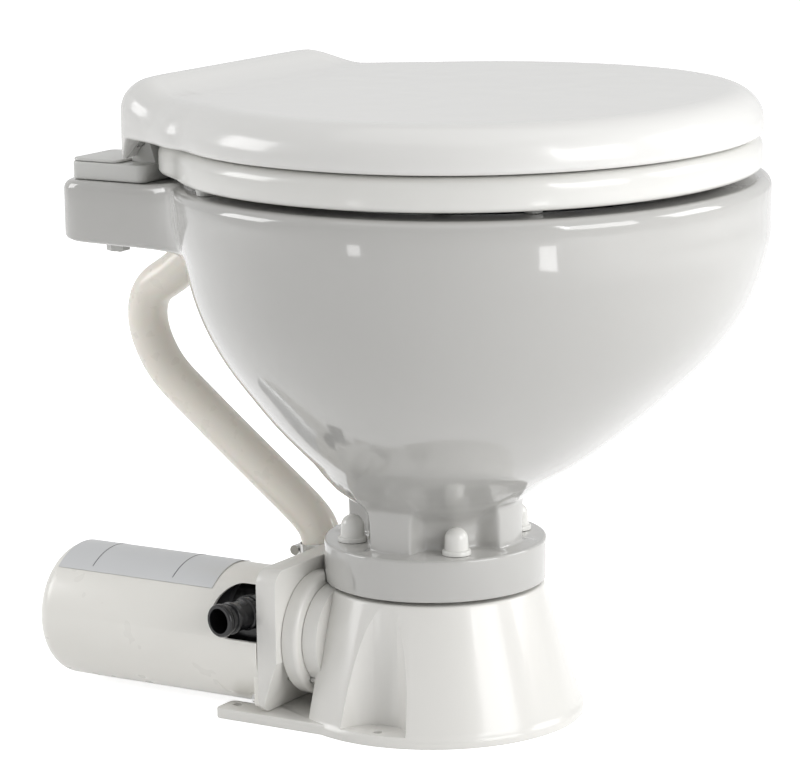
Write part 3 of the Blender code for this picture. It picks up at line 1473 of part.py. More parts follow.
def shrink(points, amount):
    """Move every point of a counter-clockwise loop inwards."""
    count = len(points)
    out = []
    for i, (x, y) in enumerate(points):
        ax, ay = points[(i - 1) % count]
        bx, by = points[(i + 1) % count]
        tx, ty = bx - ax, by - ay
        size = math.hypot(tx, ty)
        out.append((x - ty / size * amount, y + tx / size * amount))
    return out


def build_seat(kit):
    """The seat ring with rounded edges, hinge arms and bumpers."""
    count = 48
    outer = resample(full_outline(outline_half(SEAT_ELLIPSE, SEAT_ELLIPSE_END, SEAT_OUTLINE)), count)
    half, centre, front, rear = SEAT_HOLE
    hole = []
    for x, y in outer:
        a = math.degrees(math.atan2(y, x - SEAT_ORIGIN))
        reach = ellipse_reach_at(a, SEAT_ORIGIN, half, centre, front, rear)
        hole.append((SEAT_ORIGIN + reach * math.cos(math.radians(a)), reach * math.sin(math.radians(a))))
    e = SEAT_EDGE
    rows = [
        (shrink(outer, e * 0.35), SEAT_BOTTOM),
        (outer, SEAT_BOTTOM + e * 0.45),
        (outer, SEAT_TOP - e),
        (shrink(outer, e * 0.29), SEAT_TOP - e * 0.29),
        (shrink(outer, e), SEAT_TOP - SEAT_CROWN * 0.4),
        (middle(outer, hole, 0.5), SEAT_TOP),
        (shrink(hole, -e), SEAT_TOP - SEAT_CROWN * 0.8),
        (shrink(hole, -e * 0.29), SEAT_TOP - SEAT_CROWN - e * 0.29),
        (hole, SEAT_TOP - SEAT_CROWN - e),
        (hole, SEAT_BOTTOM + e * 0.45),
        (shrink(hole, -e * 0.35), SEAT_BOTTOM),
    ]
    rings = [[Vector((x, y, z)) for x, y in ring] for ring, z in rows]
    seat = kit.add("seat", loft_mesh(rings, closed=True), "seat_plastic", 40.0)
    for side in (-1.0, 1.0):
        arm = (
            arc((HINGE_X, HINGE_Z), KNUCKLE_R, 270.0, 90.0, 6)
            + [(x, HINGE_Z + rise) for x, rise in ARM_PROFILE]
        )
        low, high = sorted((ARM_SPAN[0] * side, ARM_SPAN[1] * side))
        join(seat, kit.tool(prism_mesh(arm, low, high, "Y")))
        cut(seat, kit.tool(rod_mesh(
            (HINGE_X, low - OVERRUN, HINGE_Z), (HINGE_X, high + OVERRUN, HINGE_Z), PIN_HOLE_R, 10
        )))
    names = iter(("front_far", "front_near", "rear_far", "rear_near"))
    for x, y in BUMPERS:
        for side in (1.0, -1.0):
            stud_top = SEAT_BOTTOM + BUMPER_STUD
            cut(seat, kit.tool(rod_mesh(
                (x, y * side, SEAT_BOTTOM - OVERRUN), (x, y * side, stud_top + GAP), BUMPER_STUD_R + GAP, 8
            )))
            bumper = kit.add(
                f"seat_bumper_{next(names)}",
                rod_mesh((x, y * side, RIM_TOP + GAP), (x, y * side, SEAT_BOTTOM - GAP), BUMPER_R * 0.86, 16, BUMPER_R),
                "hinge_plastic",
            )
            join(bumper, kit.tool(rod_mesh(
                (x, y * side, SEAT_BOTTOM - GAP - THIN_OVERRUN), (x, y * side, stud_top), BUMPER_STUD_R, 8
            )))
    return seat


def ellipse_reach_at(angle, origin_x, half, centre, front, rear):
    """Distance from a point on the X axis to a superellipse."""
    return ellipse_reach(angle, half, centre - origin_x, front, rear, BOWL_POWER)


def middle(a, b, share_b):
    """Points between two loops."""
    return [
        (p[0] * (1.0 - share_b) + q[0] * share_b, p[1] * (1.0 - share_b) + q[1] * share_b)
        for p, q in zip(a, b)
    ]


def lid_height(x):
    """Top of the lid at a place: flat, swept up at the rear."""
    t = min(max((LID_RISE_START - x) / (LID_RISE_START - LID_RISE_END), 0.0), 1.0)
    return LID_TOP + LID_REAR_RISE * t * t * (3.0 - 2.0 * t)


def lid_floor(x):
    """Bottom of the lid at a place: flat, with the skirt at the rear."""
    t = min(max((SKIRT_FRONT + 0.0030 - x) / 0.0030, 0.0), 1.0)
    return LID_BOTTOM - (LID_BOTTOM - SKIRT_BOTTOM) * t


def build_lid(kit):
    """The moulded lid: rounded edges, swept rear, skirt and hinge pockets."""
    count = 52
    outer = resample(full_outline(outline_half(LID_ELLIPSE, LID_ELLIPSE_END, LID_OUTLINE)), count)
    rows = []
    for inset, drop in LID_PROFILE:
        ring = shrink(outer, inset)
        rows.append([Vector((x, y, lid_height(x) - drop)) for x, y in ring])
    low = shrink(outer, LID_EDGE_IN)
    rows.append([Vector((x, y, LID_BOTTOM + LID_EDGE)) for x, y in outer])
    rows.append([Vector((x, y, LID_BOTTOM)) for x, y in low])
    lid = kit.add("lid", strip_capped(rows), "lid_plastic", 40.0)
    skirt_line = [(x, y) for x, y in shrink(outer, 0.0004) if x < SKIRT_FRONT]
    skirt_line.sort(key=lambda p: p[1])
    outline = skirt_line + [(SKIRT_FRONT, skirt_line[-1][1]), (SKIRT_FRONT, skirt_line[0][1])]
    join(lid, kit.tool(prism_mesh(outline, SKIRT_BOTTOM, LID_BOTTOM + LID_SKIRT_OVERLAP)))
    for side in (-1.0, 1.0):
        low, high = sorted((POCKET_SPAN[0] * side, POCKET_SPAN[1] * side))
        cut(lid, kit.tool(box_mesh(
            (-0.1700, low, SKIRT_BOTTOM - OVERRUN), (POCKET_FRONT, high, POCKET_TOP)
        )))
        low, high = sorted(((PIN_SPAN[0] - GAP) * side, (PIN_SPAN[1] + GAP) * side))
        cut(lid, kit.tool(rod_mesh((HINGE_X, low, HINGE_Z), (HINGE_X, high, HINGE_Z), PIN_HOLE_R, 10)))
    return lid


def strip_capped(rings):
    """A skin over rings, each end closed by strips across from side to side."""

    def build(bm):
        rows = [[bm.verts.new(point) for point in ring] for ring in rings]
        count = len(rings[0])
        for lower, upper in zip(rows[:-1], rows[1:]):
            for i in range(count):
                j = (i + 1) % count
                bm.faces.new((lower[i], lower[j], upper[j], upper[i]))
        for row in (rows[0], rows[-1]):
            bm.faces.new((row[0], row[1], row[-1]))
            for i in range(1, count // 2 - 2):
                bm.faces.new((row[i], row[i + 1], row[count - i - 1], row[count - i]))
            bm.faces.new(row[count // 2 - 2:count // 2 + 3])
        bmesh.ops.recalc_face_normals(bm, faces=bm.faces)

    return to_mesh("lid", build)


def build_hinges(kit):
    """Hinge blocks on the deck with snap covers, pins, bolts and nuts."""
    for side, name in ((-1.0, "near"), (1.0, "far")):
        low, high = sorted((BLOCK_Y[0] * side, BLOCK_Y[1] * side))
        bottom = DECK_TOP + GAP
        block = kit.add(
            f"hinge_block_{name}",
            prism_mesh(rounded_box((BLOCK_X[0], low), (BLOCK_X[1], high), BLOCK_EDGE, 3), bottom, BLOCK_TOP),
            "hinge_plastic",
        )
        edge = block.modifiers.new("edges", "BEVEL")
        edge.width = 0.0006
        edge.segments = 1
        edge.limit_method = "ANGLE"
        edge.angle_limit = math.radians(60.0)
        neck = (
            [(NECK_REAR, BLOCK_TOP - 0.0030), (NECK_FRONT, BLOCK_TOP - 0.0030), (NECK_FRONT, BLOCK_TOP + 0.0010)]
            + arc((HINGE_X, HINGE_Z), KNUCKLE_R, 0.0, 180.0, 6)
            + [(NECK_REAR, BLOCK_TOP + 0.0016)]
        )
        nlow, nhigh = sorted((NECK_SPAN[0] * side, NECK_SPAN[1] * side))
        join(block, kit.tool(prism_mesh(neck, nlow, nhigh, "Y")))
        cut(block, kit.tool(rod_mesh(
            (HINGE_X, nlow - OVERRUN, HINGE_Z), (HINGE_X, nhigh + OVERRUN, HINGE_Z), PIN_HOLE_R, 10
        )))
        x, y = HINGE_BOLT[0], HINGE_BOLT[1] * side
        cut(block, kit.tool(rod_mesh((x, y, bottom - OVERRUN), (x, y, BLOCK_TOP + OVERRUN), BOLT_HOLE_R, 10)))
        cut(block, kit.tool(rod_mesh(
            (x, y, HINGE_HEAD_BOTTOM - GAP), (x, y, BLOCK_TOP + OVERRUN), HINGE_POCKET_R, 18
        )))
        flap_low = BLOCK_TOP + GAP
        flow, fhigh = sorted(((BLOCK_Y[0] + 0.0012) * side, (BLOCK_Y[1] - 0.0006) * side))
        flap = kit.add(
            f"hinge_cover_{name}",
            prism_mesh(
                rounded_box((FLAP_X[0], flow), (FLAP_X[1], fhigh), BLOCK_EDGE * 0.9, 3),
                flap_low, flap_low + FLAP_THICK,
            ),
            "hinge_plastic",
        )
        soft = flap.modifiers.new("edges", "BEVEL")
        soft.width = 0.0007
        soft.segments = 1
        soft.limit_method = "ANGLE"
        soft.angle_limit = math.radians(60.0)
        plow, phigh = sorted((PIN_SPAN[0] * side, PIN_SPAN[1] * side))
        kit.add(
            f"hinge_pin_{name}",
            rod_mesh((HINGE_X, plow, HINGE_Z), (HINGE_X, phigh, HINGE_Z), PIN_R, 12),
            "steel",
        )
        bolt = kit.add(
            f"hinge_bolt_{name}",
            rod_mesh((x, y, HINGE_NUT[0] - 0.0010), (x, y, HINGE_HEAD_BOTTOM + THIN_OVERRUN), HINGE_BOLT_R, 10),
            "steel",
        )
        join(bolt, kit.tool(rod_mesh(
            (x, y, HINGE_HEAD_BOTTOM), (x, y, HINGE_HEAD_BOTTOM + HINGE_HEAD_H), HINGE_HEAD_R, 16, HINGE_HEAD_R * 0.72
        )))
        nut = kit.add(
            f"hinge_nut_{name}",
            rod_mesh((x, y, HINGE_NUT[0]), (x, y, HINGE_NUT[1]), HINGE_NUT_R, 6),
            "hinge_plastic",
        )
        cut(nut, kit.tool(rod_mesh(
            (x, y, HINGE_NUT[0] - OVERRUN), (x, y, HINGE_NUT[1] + OVERRUN), HINGE_BOLT_R + GAP, 10
        )))


def main():
    """Build every sub-part."""
    clear_scene()
    kit = Kit()
    build_bowl(kit)
    build_bowl_bolts(kit)
    build_bowl_seal(kit)
    build_base(kit)
    build_macerator(kit)
    build_bracket(kit)
    build_water_pump(kit)
    build_motor(kit)
    build_cover(kit)
    build_hose(kit)
    build_seat(kit)
    build_lid(kit)
    build_hinges(kit)


main()
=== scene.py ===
"""Electric marine toilet: glazed bowl, moulded seat, lid and base, motor with flush hose.

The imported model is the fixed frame. Each class below holds the sizes of one sub-assembly in
metres, builds its shells and dresses them, and the studio class sets floor, lamps and camera.
"""

import json
import logging
import math
from dataclasses import dataclass
from enum import Enum
from typing import Callable, Iterable, Sequence

import bmesh
import bpy
from mathutils import Matrix, Vector


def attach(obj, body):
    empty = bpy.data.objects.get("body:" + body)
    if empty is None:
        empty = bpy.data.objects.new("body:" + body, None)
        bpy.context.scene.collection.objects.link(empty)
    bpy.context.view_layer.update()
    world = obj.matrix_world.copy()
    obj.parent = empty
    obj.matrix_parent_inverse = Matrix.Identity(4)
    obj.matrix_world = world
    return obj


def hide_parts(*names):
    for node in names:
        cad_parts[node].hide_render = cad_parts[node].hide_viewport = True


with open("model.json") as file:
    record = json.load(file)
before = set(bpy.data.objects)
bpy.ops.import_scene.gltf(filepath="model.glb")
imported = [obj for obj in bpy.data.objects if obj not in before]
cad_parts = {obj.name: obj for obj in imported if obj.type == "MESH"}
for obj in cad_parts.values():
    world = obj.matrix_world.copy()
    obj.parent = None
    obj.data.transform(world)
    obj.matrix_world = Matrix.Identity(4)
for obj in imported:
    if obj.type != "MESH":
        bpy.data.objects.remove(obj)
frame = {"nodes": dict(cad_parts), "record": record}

log = logging.getLogger("toilet")

Point = tuple[float, float]
Place = tuple[float, float, float]
Ring = list[Vector]

# Sizes that several sub-assemblies share. All lengths are in metres, all angles in degrees.
PLAN_POWER = 2.07
HINGE: Point = (-0.1495, 0.3450)
KNUCKLE_R = 0.0055
PIN_HOLE_R = 0.0028
HINGE_BOLT: Point = (-0.1745, 0.0720)
BOLT_HOLE_R = 0.0034
BOLT_CIRCLE_R = 0.0506
BOLT_ANGLES = (-45.0, 45.0, 135.0, -135.0)
PUMP_AXIS: Point = (-0.0410, 0.0500)
PUMP_SCREW_CIRCLE_R = 0.0315
PUMP_SCREW_ANGLES = (50.0, -20.0, -130.0)
SCREW_HOLE_R = 0.0023
MOTOR_AXIS: Point = (-0.0420, 0.0445)
LUG_SCREW: Point = (0.0342, 0.0142)
LUG_SCREW_R = 0.0019
FLANGE_RELIEF: Point = (0.0669, 0.0815)
FLANGE_RELIEF_TOP = 0.1

# Bench values: how far tools run past a face, merge distances, the radius of a pole and the ray search.
PAST = 0.003
PAST_MORE = 0.004
MERGE_SEAM = 0.000002
MERGE_TURNED = 0.000005
MERGE_LID = 0.000008
POLE_R = 0.000001
RAY_REACH = 0.4
HALVINGS = 26
SUBSURFACE_SCALE = 0.004
GLOSS_SCALE = 3.7
LEAST_ROUGHNESS = 0.02
SHRINK_STEP = 0.0015


class Side(Enum):
    """The two sides of the toilet, by the sign of Y."""

    NEAR = -1.0
    FAR = 1.0

    def span(self, low: float, high: float) -> Point:
        """A range of Y on this side, in rising order."""
        ends = sorted((low * self.value, high * self.value))
        return ends[0], ends[1]


class Body(Enum):
    """The moving bodies of the frame."""

    TOILET = "toilet"
    SEAT = "seat"
    LID = "lid"
    FLAP_NEAR = "flap_near"
    FLAP_FAR = "flap_far"


# Finishes


@dataclass(frozen=True)
class Finish:
    """A procedural finish: soft mottling, uneven gloss and fine relief, on Object coordinates."""

    name: str
    slot: str
    tone: tuple[float, float, float]
    second: tuple[float, float, float]
    roughness: float
    rough_spread: float = 0.04
    metallic: float = 0.0
    coat: float = 0.0
    coat_roughness: float = 0.05
    mottle_scale: float = 14.0
    grain_scale: float = 240.0
    grain_depth: float = 0.0
    wave_scale: float = 26.0
    wave_depth: float = 0.00002
    subsurface: float = 0.0

    def material(self, piece: str) -> bpy.types.Material:
        """Make the node material for one piece.

        Args:
            piece: Name of the piece that wears it.

        Returns:
            The new material.
        """
        made = bpy.data.materials.new(f"{piece}_{self.name}")
        made.use_nodes = True
        made.diffuse_color = (*self.tone, 1.0)
        tree = made.node_tree
        nodes, links = tree.nodes, tree.links
        shader = nodes["Principled BSDF"]
        shader.inputs["Metallic"].default_value = self.metallic
        shader.inputs["Coat Weight"].default_value = self.coat
        shader.inputs["Coat Roughness"].default_value = self.coat_roughness
        shader.inputs["Subsurface Weight"].default_value = self.subsurface
        shader.inputs["Subsurface Scale"].default_value = SUBSURFACE_SCALE
        where = nodes.new("ShaderNodeTexCoord")
        cloud = self._noise(tree, where, self.mottle_scale, 4.0)
        tint = nodes.new("ShaderNodeMix")
        tint.data_type = "RGBA"
        tint.inputs[6].default_value = (*self.tone, 1.0)
        tint.inputs[7].default_value = (*self.second, 1.0)
        links.new(cloud.outputs["Fac"], tint.inputs[0])
        links.new(tint.outputs[2], shader.inputs["Base Color"])
        gloss = self._noise(tree, where, self.mottle_scale * GLOSS_SCALE, 2.0)
        spread = nodes.new("ShaderNodeMapRange")
        spread.inputs["To Min"].default_value = max(self.roughness - self.rough_spread, LEAST_ROUGHNESS)
        spread.inputs["To Max"].default_value = self.roughness + self.rough_spread
        links.new(gloss.outputs["Fac"], spread.inputs["Value"])
        links.new(spread.outputs["Result"], shader.inputs["Roughness"])
        wave = self._bump(tree, self._noise(tree, where, self.wave_scale, 1.0), self.wave_depth, None)
        if self.grain_depth > 0.0:
            wave = self._bump(tree, self._noise(tree, where, self.grain_scale, 2.0), self.grain_depth, wave)
        links.new(wave.outputs["Normal"], shader.inputs["Normal"])
        return made

    @staticmethod
    def _noise(
        tree: bpy.types.NodeTree, where: bpy.types.Node, scale: float, detail: float
    ) -> bpy.types.Node:
        """Add a noise texture on Object coordinates.

        Args:
            tree: The material's node tree.
            where: The texture coordinate node.
            scale: Noise scale per metre.
            detail: Octaves.

        Returns:
            The noise node.
        """
        noise = tree.nodes.new("ShaderNodeTexNoise")
        noise.inputs["Scale"].default_value = scale
        noise.inputs["Detail"].default_value = detail
        tree.links.new(where.outputs["Object"], noise.inputs["Vector"])
        return noise

    @staticmethod
    def _bump(
        tree: bpy.types.NodeTree, source: bpy.types.Node, depth: float, under: bpy.types.Node | None
    ) -> bpy.types.Node:
        """Add a bump step of a depth in metres.

        Args:
            tree: The material's node tree.
            source: Node with a Fac output.
            depth: Relief depth.
            under: An earlier bump node, or None.

        Returns:
            The bump node.
        """
        bump = tree.nodes.new("ShaderNodeBump")
        bump.inputs["Distance"].default_value = depth
        bump.inputs["Strength"].default_value = 1.0
        tree.links.new(source.outputs["Fac"], bump.inputs["Height"])
        if under is not None:
            tree.links.new(under.outputs["Normal"], bump.inputs["Normal"])
        return bump


GLAZE = Finish("glaze", "ceramic", (0.505, 0.500, 0.482), (0.520, 0.515, 0.498), 0.10, 0.02,
               coat=0.6, coat_roughness=0.03, wave_scale=20.0, wave_depth=0.00016)
LID_GLOSS = Finish("lid_gloss", "lid_plastic", (0.79, 0.785, 0.765), (0.805, 0.80, 0.78), 0.20, 0.02,
                   coat=0.25, coat_roughness=0.08, wave_scale=16.0, wave_depth=0.00015)
SEAT_GLOSS = Finish("seat_gloss", "seat_plastic", (0.77, 0.765, 0.735), (0.79, 0.785, 0.76), 0.18, 0.02,
                    coat=0.3, coat_roughness=0.07, wave_scale=18.0, wave_depth=0.00015)
BASE_GLOSS = Finish("base_gloss", "base_plastic", (0.79, 0.78, 0.747), (0.805, 0.795, 0.765), 0.24, 0.02,
                    coat=0.25, coat_roughness=0.10)
COVER_GLOSS = Finish("cover_gloss", "cover_plastic", (0.90, 0.885, 0.835), (0.91, 0.895, 0.85), 0.28, 0.02,
                     coat=0.2, coat_roughness=0.12)
HINGE_SATIN = Finish("hinge_satin", "hinge_plastic", (0.62, 0.62, 0.60), (0.66, 0.66, 0.64), 0.32, 0.05,
                     coat=0.15, coat_roughness=0.15, grain_depth=0.00002)
HOSE_VINYL = Finish("hose_vinyl", "hose_vinyl", (0.92, 0.86, 0.775), (0.94, 0.89, 0.81), 0.28, 0.03,
                    coat=0.3, coat_roughness=0.12, mottle_scale=30.0, subsurface=0.15)
BLACK_MOULD = Finish("black_mould", "black_plastic", (0.007, 0.007, 0.008), (0.011, 0.011, 0.012), 0.20, 0.04,
                     coat=0.0, coat_roughness=0.12, grain_scale=500.0, grain_depth=0.00002)
RUBBER = Finish("rubber", "rubber", (0.012, 0.012, 0.012), (0.022, 0.022, 0.022), 0.62, 0.08,
                grain_scale=500.0, grain_depth=0.00004)
STEEL = Finish("steel", "steel", (0.58, 0.58, 0.57), (0.66, 0.66, 0.65), 0.24, 0.08, metallic=1.0,
               grain_scale=600.0, grain_depth=0.00001)
DARK_IRON = Finish("dark_iron", "dark_iron", (0.055, 0.055, 0.060), (0.085, 0.085, 0.090), 0.50, 0.10,
                   metallic=0.5, grain_scale=600.0, grain_depth=0.00004)
COPPER = Finish("copper", "copper", (0.55, 0.27, 0.13), (0.66, 0.36, 0.20), 0.36, 0.08, metallic=0.95,
                grain_scale=700.0, grain_depth=0.00006)
FILM = Finish("film", "silver_film", (0.66, 0.67, 0.68), (0.72, 0.73, 0.74), 0.30, 0.03, metallic=0.45,
              wave_depth=0.00003)
INK = Finish("ink", "black_plastic", (0.10, 0.10, 0.11), (0.14, 0.14, 0.15), 0.40, 0.05)

BY_SLOT = {
    item.slot: item
    for item in (GLAZE, LID_GLOSS, SEAT_GLOSS, BASE_GLOSS, COVER_GLOSS, HINGE_SATIN, HOSE_VINYL,
                 BLACK_MOULD, RUBBER, STEEL, DARK_IRON, COPPER, FILM)
}


# Bench tools


def deselect() -> None:
    """Leave edit mode and deselect everything."""
    if bpy.context.mode != "OBJECT":
        bpy.ops.object.mode_set(mode="OBJECT")
    bpy.ops.object.select_all(action="DESELECT")


def activate(item: bpy.types.Object) -> None:
    """Make one object the only selected and active one."""
    deselect()
    item.select_set(True)
    bpy.context.view_layer.objects.active = item


def start_ring(name: str, count: int, filled: bool = False) -> bpy.types.Object:
    """Add a circle primitive as the start of a shell.

    Args:
        name: Name of the piece.
        count: Points on the ring.
        filled: Whether the ring gets one face.

    Returns:
        The new object, in edit mode with all selected.
    """
    deselect()
    bpy.ops.mesh.primitive_circle_add(
        vertices=count, radius=0.1, fill_type="NGON" if filled else "NOTHING", location=(0, 0, 0)
    )
    item = bpy.context.active_object
    item.name = name
    item.data.name = name
    bpy.ops.object.mode_set(mode="EDIT")
    bpy.ops.mesh.select_all(action="SELECT")
    return item


def place_all(item: bpy.types.Object, places: Iterable[Vector]) -> None:
    """Put the points of an object in edit mode at new places, in order."""
    mesh = bmesh.from_edit_mesh(item.data)
    mesh.verts.ensure_lookup_table()
    for vert, spot in zip(mesh.verts, places):
        vert.co = spot
    bmesh.update_edit_mesh(item.data)


def place_selected(item: bpy.types.Object, old: Ring, new: Ring) -> None:
    """Move the selected points of a ring from their old places to new ones.

    Args:
        item: The object in edit mode.
        old: Present places in ring order.
        new: Wanted places in the same order.
    """
    mesh = bmesh.from_edit_mesh(item.data)
    spots = {tuple(place): number for number, place in enumerate(old)}
    for vert in mesh.verts:
        if vert.select and tuple(vert.co) in spots:
            vert.co = new[spots[tuple(vert.co)]]
    bmesh.update_edit_mesh(item.data)


def face_outwards() -> None:
    """Turn the faces of the mesh in edit mode outwards and leave edit mode."""
    bpy.ops.mesh.select_all(action="SELECT")
    bpy.ops.mesh.normals_make_consistent(inside=False)
    bpy.ops.object.mode_set(mode="OBJECT")


def merge_doubles(item: bpy.types.Object, distance: float) -> None:
    """Merge doubles, drop loose points and turn the faces outwards."""
    activate(item)
    bpy.ops.object.mode_set(mode="EDIT")
    bpy.ops.mesh.select_all(action="SELECT")
    bpy.ops.mesh.remove_doubles(threshold=distance)
    bpy.ops.mesh.delete_loose(use_faces=False)
    face_outwards()


def loft(name: str, rings: Sequence[Ring], closed: bool = False) -> bpy.types.Object:
    """Extrude a ring through a row of section rings.

    Args:
        name: Name of the piece.
        rings: Section rings with equal point counts.
        closed: Whether the last ring joins the first.

    Returns:
        The shell, with normals outwards.
    """
    item = start_ring(name, len(rings[0]))
    place_all(item, rings[0])
    for last, ring in zip(rings[:-1], rings[1:]):
        bpy.ops.mesh.extrude_edges_move()
        place_selected(item, last, ring)
    if closed:
        bpy.ops.mesh.extrude_edges_move()
        place_selected(item, rings[-1], rings[0])
        bpy.ops.mesh.select_all(action="SELECT")
        bpy.ops.mesh.remove_doubles(threshold=MERGE_SEAM)
    face_outwards()
    return item


def turned(
    name: str, profile: Sequence[Point], origin: Sequence[float], axis: Sequence[float],
    segments: int = 96, closed: bool = True,
) -> bpy.types.Object:
    """Turn a profile of radius and height about an axis.

    Args:
        name: Name of the piece.
        profile: Radius and height points. A point of radius nought closes an end.
        origin: Foot of the axis.
        axis: Direction of the axis.
        segments: Steps round.
        closed: Whether the profile is a loop, such as a ring's section.

    Returns:
        The turned shell, placed in its mesh.
    """
    turn = Vector((0.0, 0.0, 1.0)).rotation_difference(Vector(axis)).to_matrix().to_4x4()
    rings = []
    for radius, height in profile:
        size = max(radius, POLE_R)
        rings.append([
            Vector((size * math.cos(math.tau * i / segments), size * math.sin(math.tau * i / segments), height))
            for i in range(segments)
        ])
    item = loft(name, rings, closed=closed)
    merge_doubles(item, MERGE_TURNED)
    item.data.transform(Matrix.Translation(Vector(origin)) @ turn)
    item.data.update()
    return item


def on_axis(axis: str, a: float, b: float, level: float) -> Vector:
    """A point from its two places across the X, Y or Z axis and its level along it."""
    return Vector({"X": (level, a, b), "Y": (a, level, b), "Z": (a, b, level)}[axis])


def prism(
    name: str, outline: Sequence[Point], low: float, high: float, axis: str = "Z"
) -> bpy.types.Object:
    """Extrude a filled outline along an axis.

    Args:
        name: Name of the piece.
        outline: Points in the plane across the axis.
        low: Start of the extrusion.
        high: End of the extrusion.
        axis: X, Y or Z.

    Returns:
        The closed solid.
    """
    item = start_ring(name, len(outline), filled=True)
    place_all(item, [on_axis(axis, a, b, low) for a, b in outline])
    bpy.ops.mesh.select_all(action="SELECT")
    step = on_axis(axis, 0.0, 0.0, high) - on_axis(axis, 0.0, 0.0, low)
    bpy.ops.mesh.extrude_region_move(TRANSFORM_OT_translate={"value": tuple(step)})
    face_outwards()
    return item


def rod(
    name: str, start: Sequence[float], end: Sequence[float], radius: float, segments: int = 48
) -> bpy.types.Object:
    """A closed cylinder between two points."""
    run = Vector(end) - Vector(start)
    profile = [(0.0, 0.0), (radius, 0.0), (radius, run.length), (0.0, run.length)]
    return turned(name, profile, start, run, segments, closed=False)


def boolean(target: bpy.types.Object, tool: bpy.types.Object, operation: str) -> None:
    """Apply one Boolean step and drop its tool.

    Args:
        target: The piece that stays.
        tool: The shaping solid.
        operation: DIFFERENCE or UNION.
    """
    activate(target)
    step = target.modifiers.new("shape", "BOOLEAN")
    step.operation = operation
    step.solver = "EXACT"
    step.object = tool
    bpy.ops.object.modifier_apply(modifier=step.name)
    bpy.data.objects.remove(tool, do_unlink=True)


def cut(target: bpy.types.Object, tool: bpy.types.Object) -> None:
    """Take a tool out of the target."""
    boolean(target, tool, "DIFFERENCE")


def join(target: bpy.types.Object, tool: bpy.types.Object) -> None:
    """Merge a tool into the target."""
    boolean(target, tool, "UNION")


def drill(
    target: bpy.types.Object, axis: str, place: Point, low: float, high: float, radius: float, segments: int = 24
) -> None:
    """Cut a round hole along an axis.

    Args:
        target: The piece.
        axis: X, Y or Z.
        place: Place of the hole across the axis.
        low: Level where the tool starts.
        high: Level where it ends.
        radius: Radius of the hole.
        segments: Steps round.
    """
    cut(target, rod("hole", on_axis(axis, *place, low), on_axis(axis, *place, high), radius, segments))


def soften(item: bpy.types.Object, width: float, segments: int = 3, angle: float = 38.0) -> bpy.types.Object:
    """Round every edge sharper than an angle.

    Args:
        item: The piece.
        width: Width of the rounding.
        segments: Steps across it.
        angle: Least angle between faces.

    Returns:
        The piece.
    """
    activate(item)
    step = item.modifiers.new("edges", "BEVEL")
    step.width = width
    step.segments = segments
    step.limit_method = "ANGLE"
    step.angle_limit = math.radians(angle)
    step.use_clamp_overlap = True
    step.harden_normals = False
    bpy.ops.object.modifier_apply(modifier=step.name)
    return item


def dress(
    item: bpy.types.Object, finish: Finish, body: Body, replaced: Iterable[str] = (), smooth: float = 40.0
) -> None:
    """Smooth, paint and mount a finished piece.

    Args:
        item: The piece.
        finish: Its finish.
        body: The body that it rides on.
        replaced: The frame nodes that it stands for.
        smooth: Edges sharper than this stay sharp.
    """
    activate(item)
    bpy.ops.object.shade_smooth_by_angle(angle=math.radians(smooth))
    item.data.materials.clear()
    item.data.materials.append(finish.material(item.name))
    deselect()
    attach(item, body.value)
    if replaced:
        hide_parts(*replaced)
    log.info("%s: %d faces", item.name, len(item.data.polygons))


# Plane and curve tools


def around(centre: Point, radius: float, angles: Iterable[float]) -> list[Point]:
    """Points on a circle at some angles."""
    return [
        (centre[0] + radius * math.cos(math.radians(a)), centre[1] + radius * math.sin(math.radians(a)))
        for a in angles
    ]


def arc(centre: Point, radius: float, start: float, end: float, steps: int) -> list[Point]:
    """Points on a circle arc, with both ends."""
    return around(centre, radius, [start + (end - start) * i / steps for i in range(steps + 1)])


def rounded_box(low: Point, high: Point, radius: float, steps: int = 10) -> list[Point]:
    """A rectangle outline with rounded corners, counter-clockwise."""
    left, bottom = low[0] + radius, low[1] + radius
    right, top = high[0] - radius, high[1] - radius
    return (
        arc((right, bottom), radius, -90.0, 0.0, steps)
        + arc((right, top), radius, 0.0, 90.0, steps)
        + arc((left, top), radius, 90.0, 180.0, steps)
        + arc((left, bottom), radius, 180.0, 270.0, steps)
    )


def round_profile(points: Sequence[Place], steps: int = 5) -> list[Point]:
    """Round the corners of a profile.

    Args:
        points: Radius, height and corner radius of each point.
        steps: Steps in each rounded corner.

    Returns:
        The profile with small arcs in place of the corners.
    """
    out: list[Point] = []
    for i, (x, y, r) in enumerate(points):
        here = Vector((x, y))
        if r <= 0.0 or i in (0, len(points) - 1):
            out.append((x, y))
            continue
        before = Vector(points[i - 1][:2]) - here
        after = Vector(points[i + 1][:2]) - here
        cutoff = min(r, before.length * 0.49, after.length * 0.49)
        first = here + before.normalized() * cutoff
        last = here + after.normalized() * cutoff
        for k in range(steps + 1):
            t = k / steps
            point = first * (1 - t) ** 2 + here * 2 * t * (1 - t) + last * t * t
            out.append((point.x, point.y))
    return out


def edge_distance(inside: Callable[[float], bool]) -> float:
    """Distance at which a ray from the axis leaves a shape, by halving.

    Args:
        inside: Tells whether a distance is inside the shape.

    Returns:
        The distance.
    """
    low, high = 0.0, RAY_REACH
    for _ in range(HALVINGS):
        mid = (low + high) / 2.0
        if inside(mid):
            low = mid
        else:
            high = mid
    return (low + high) / 2.0


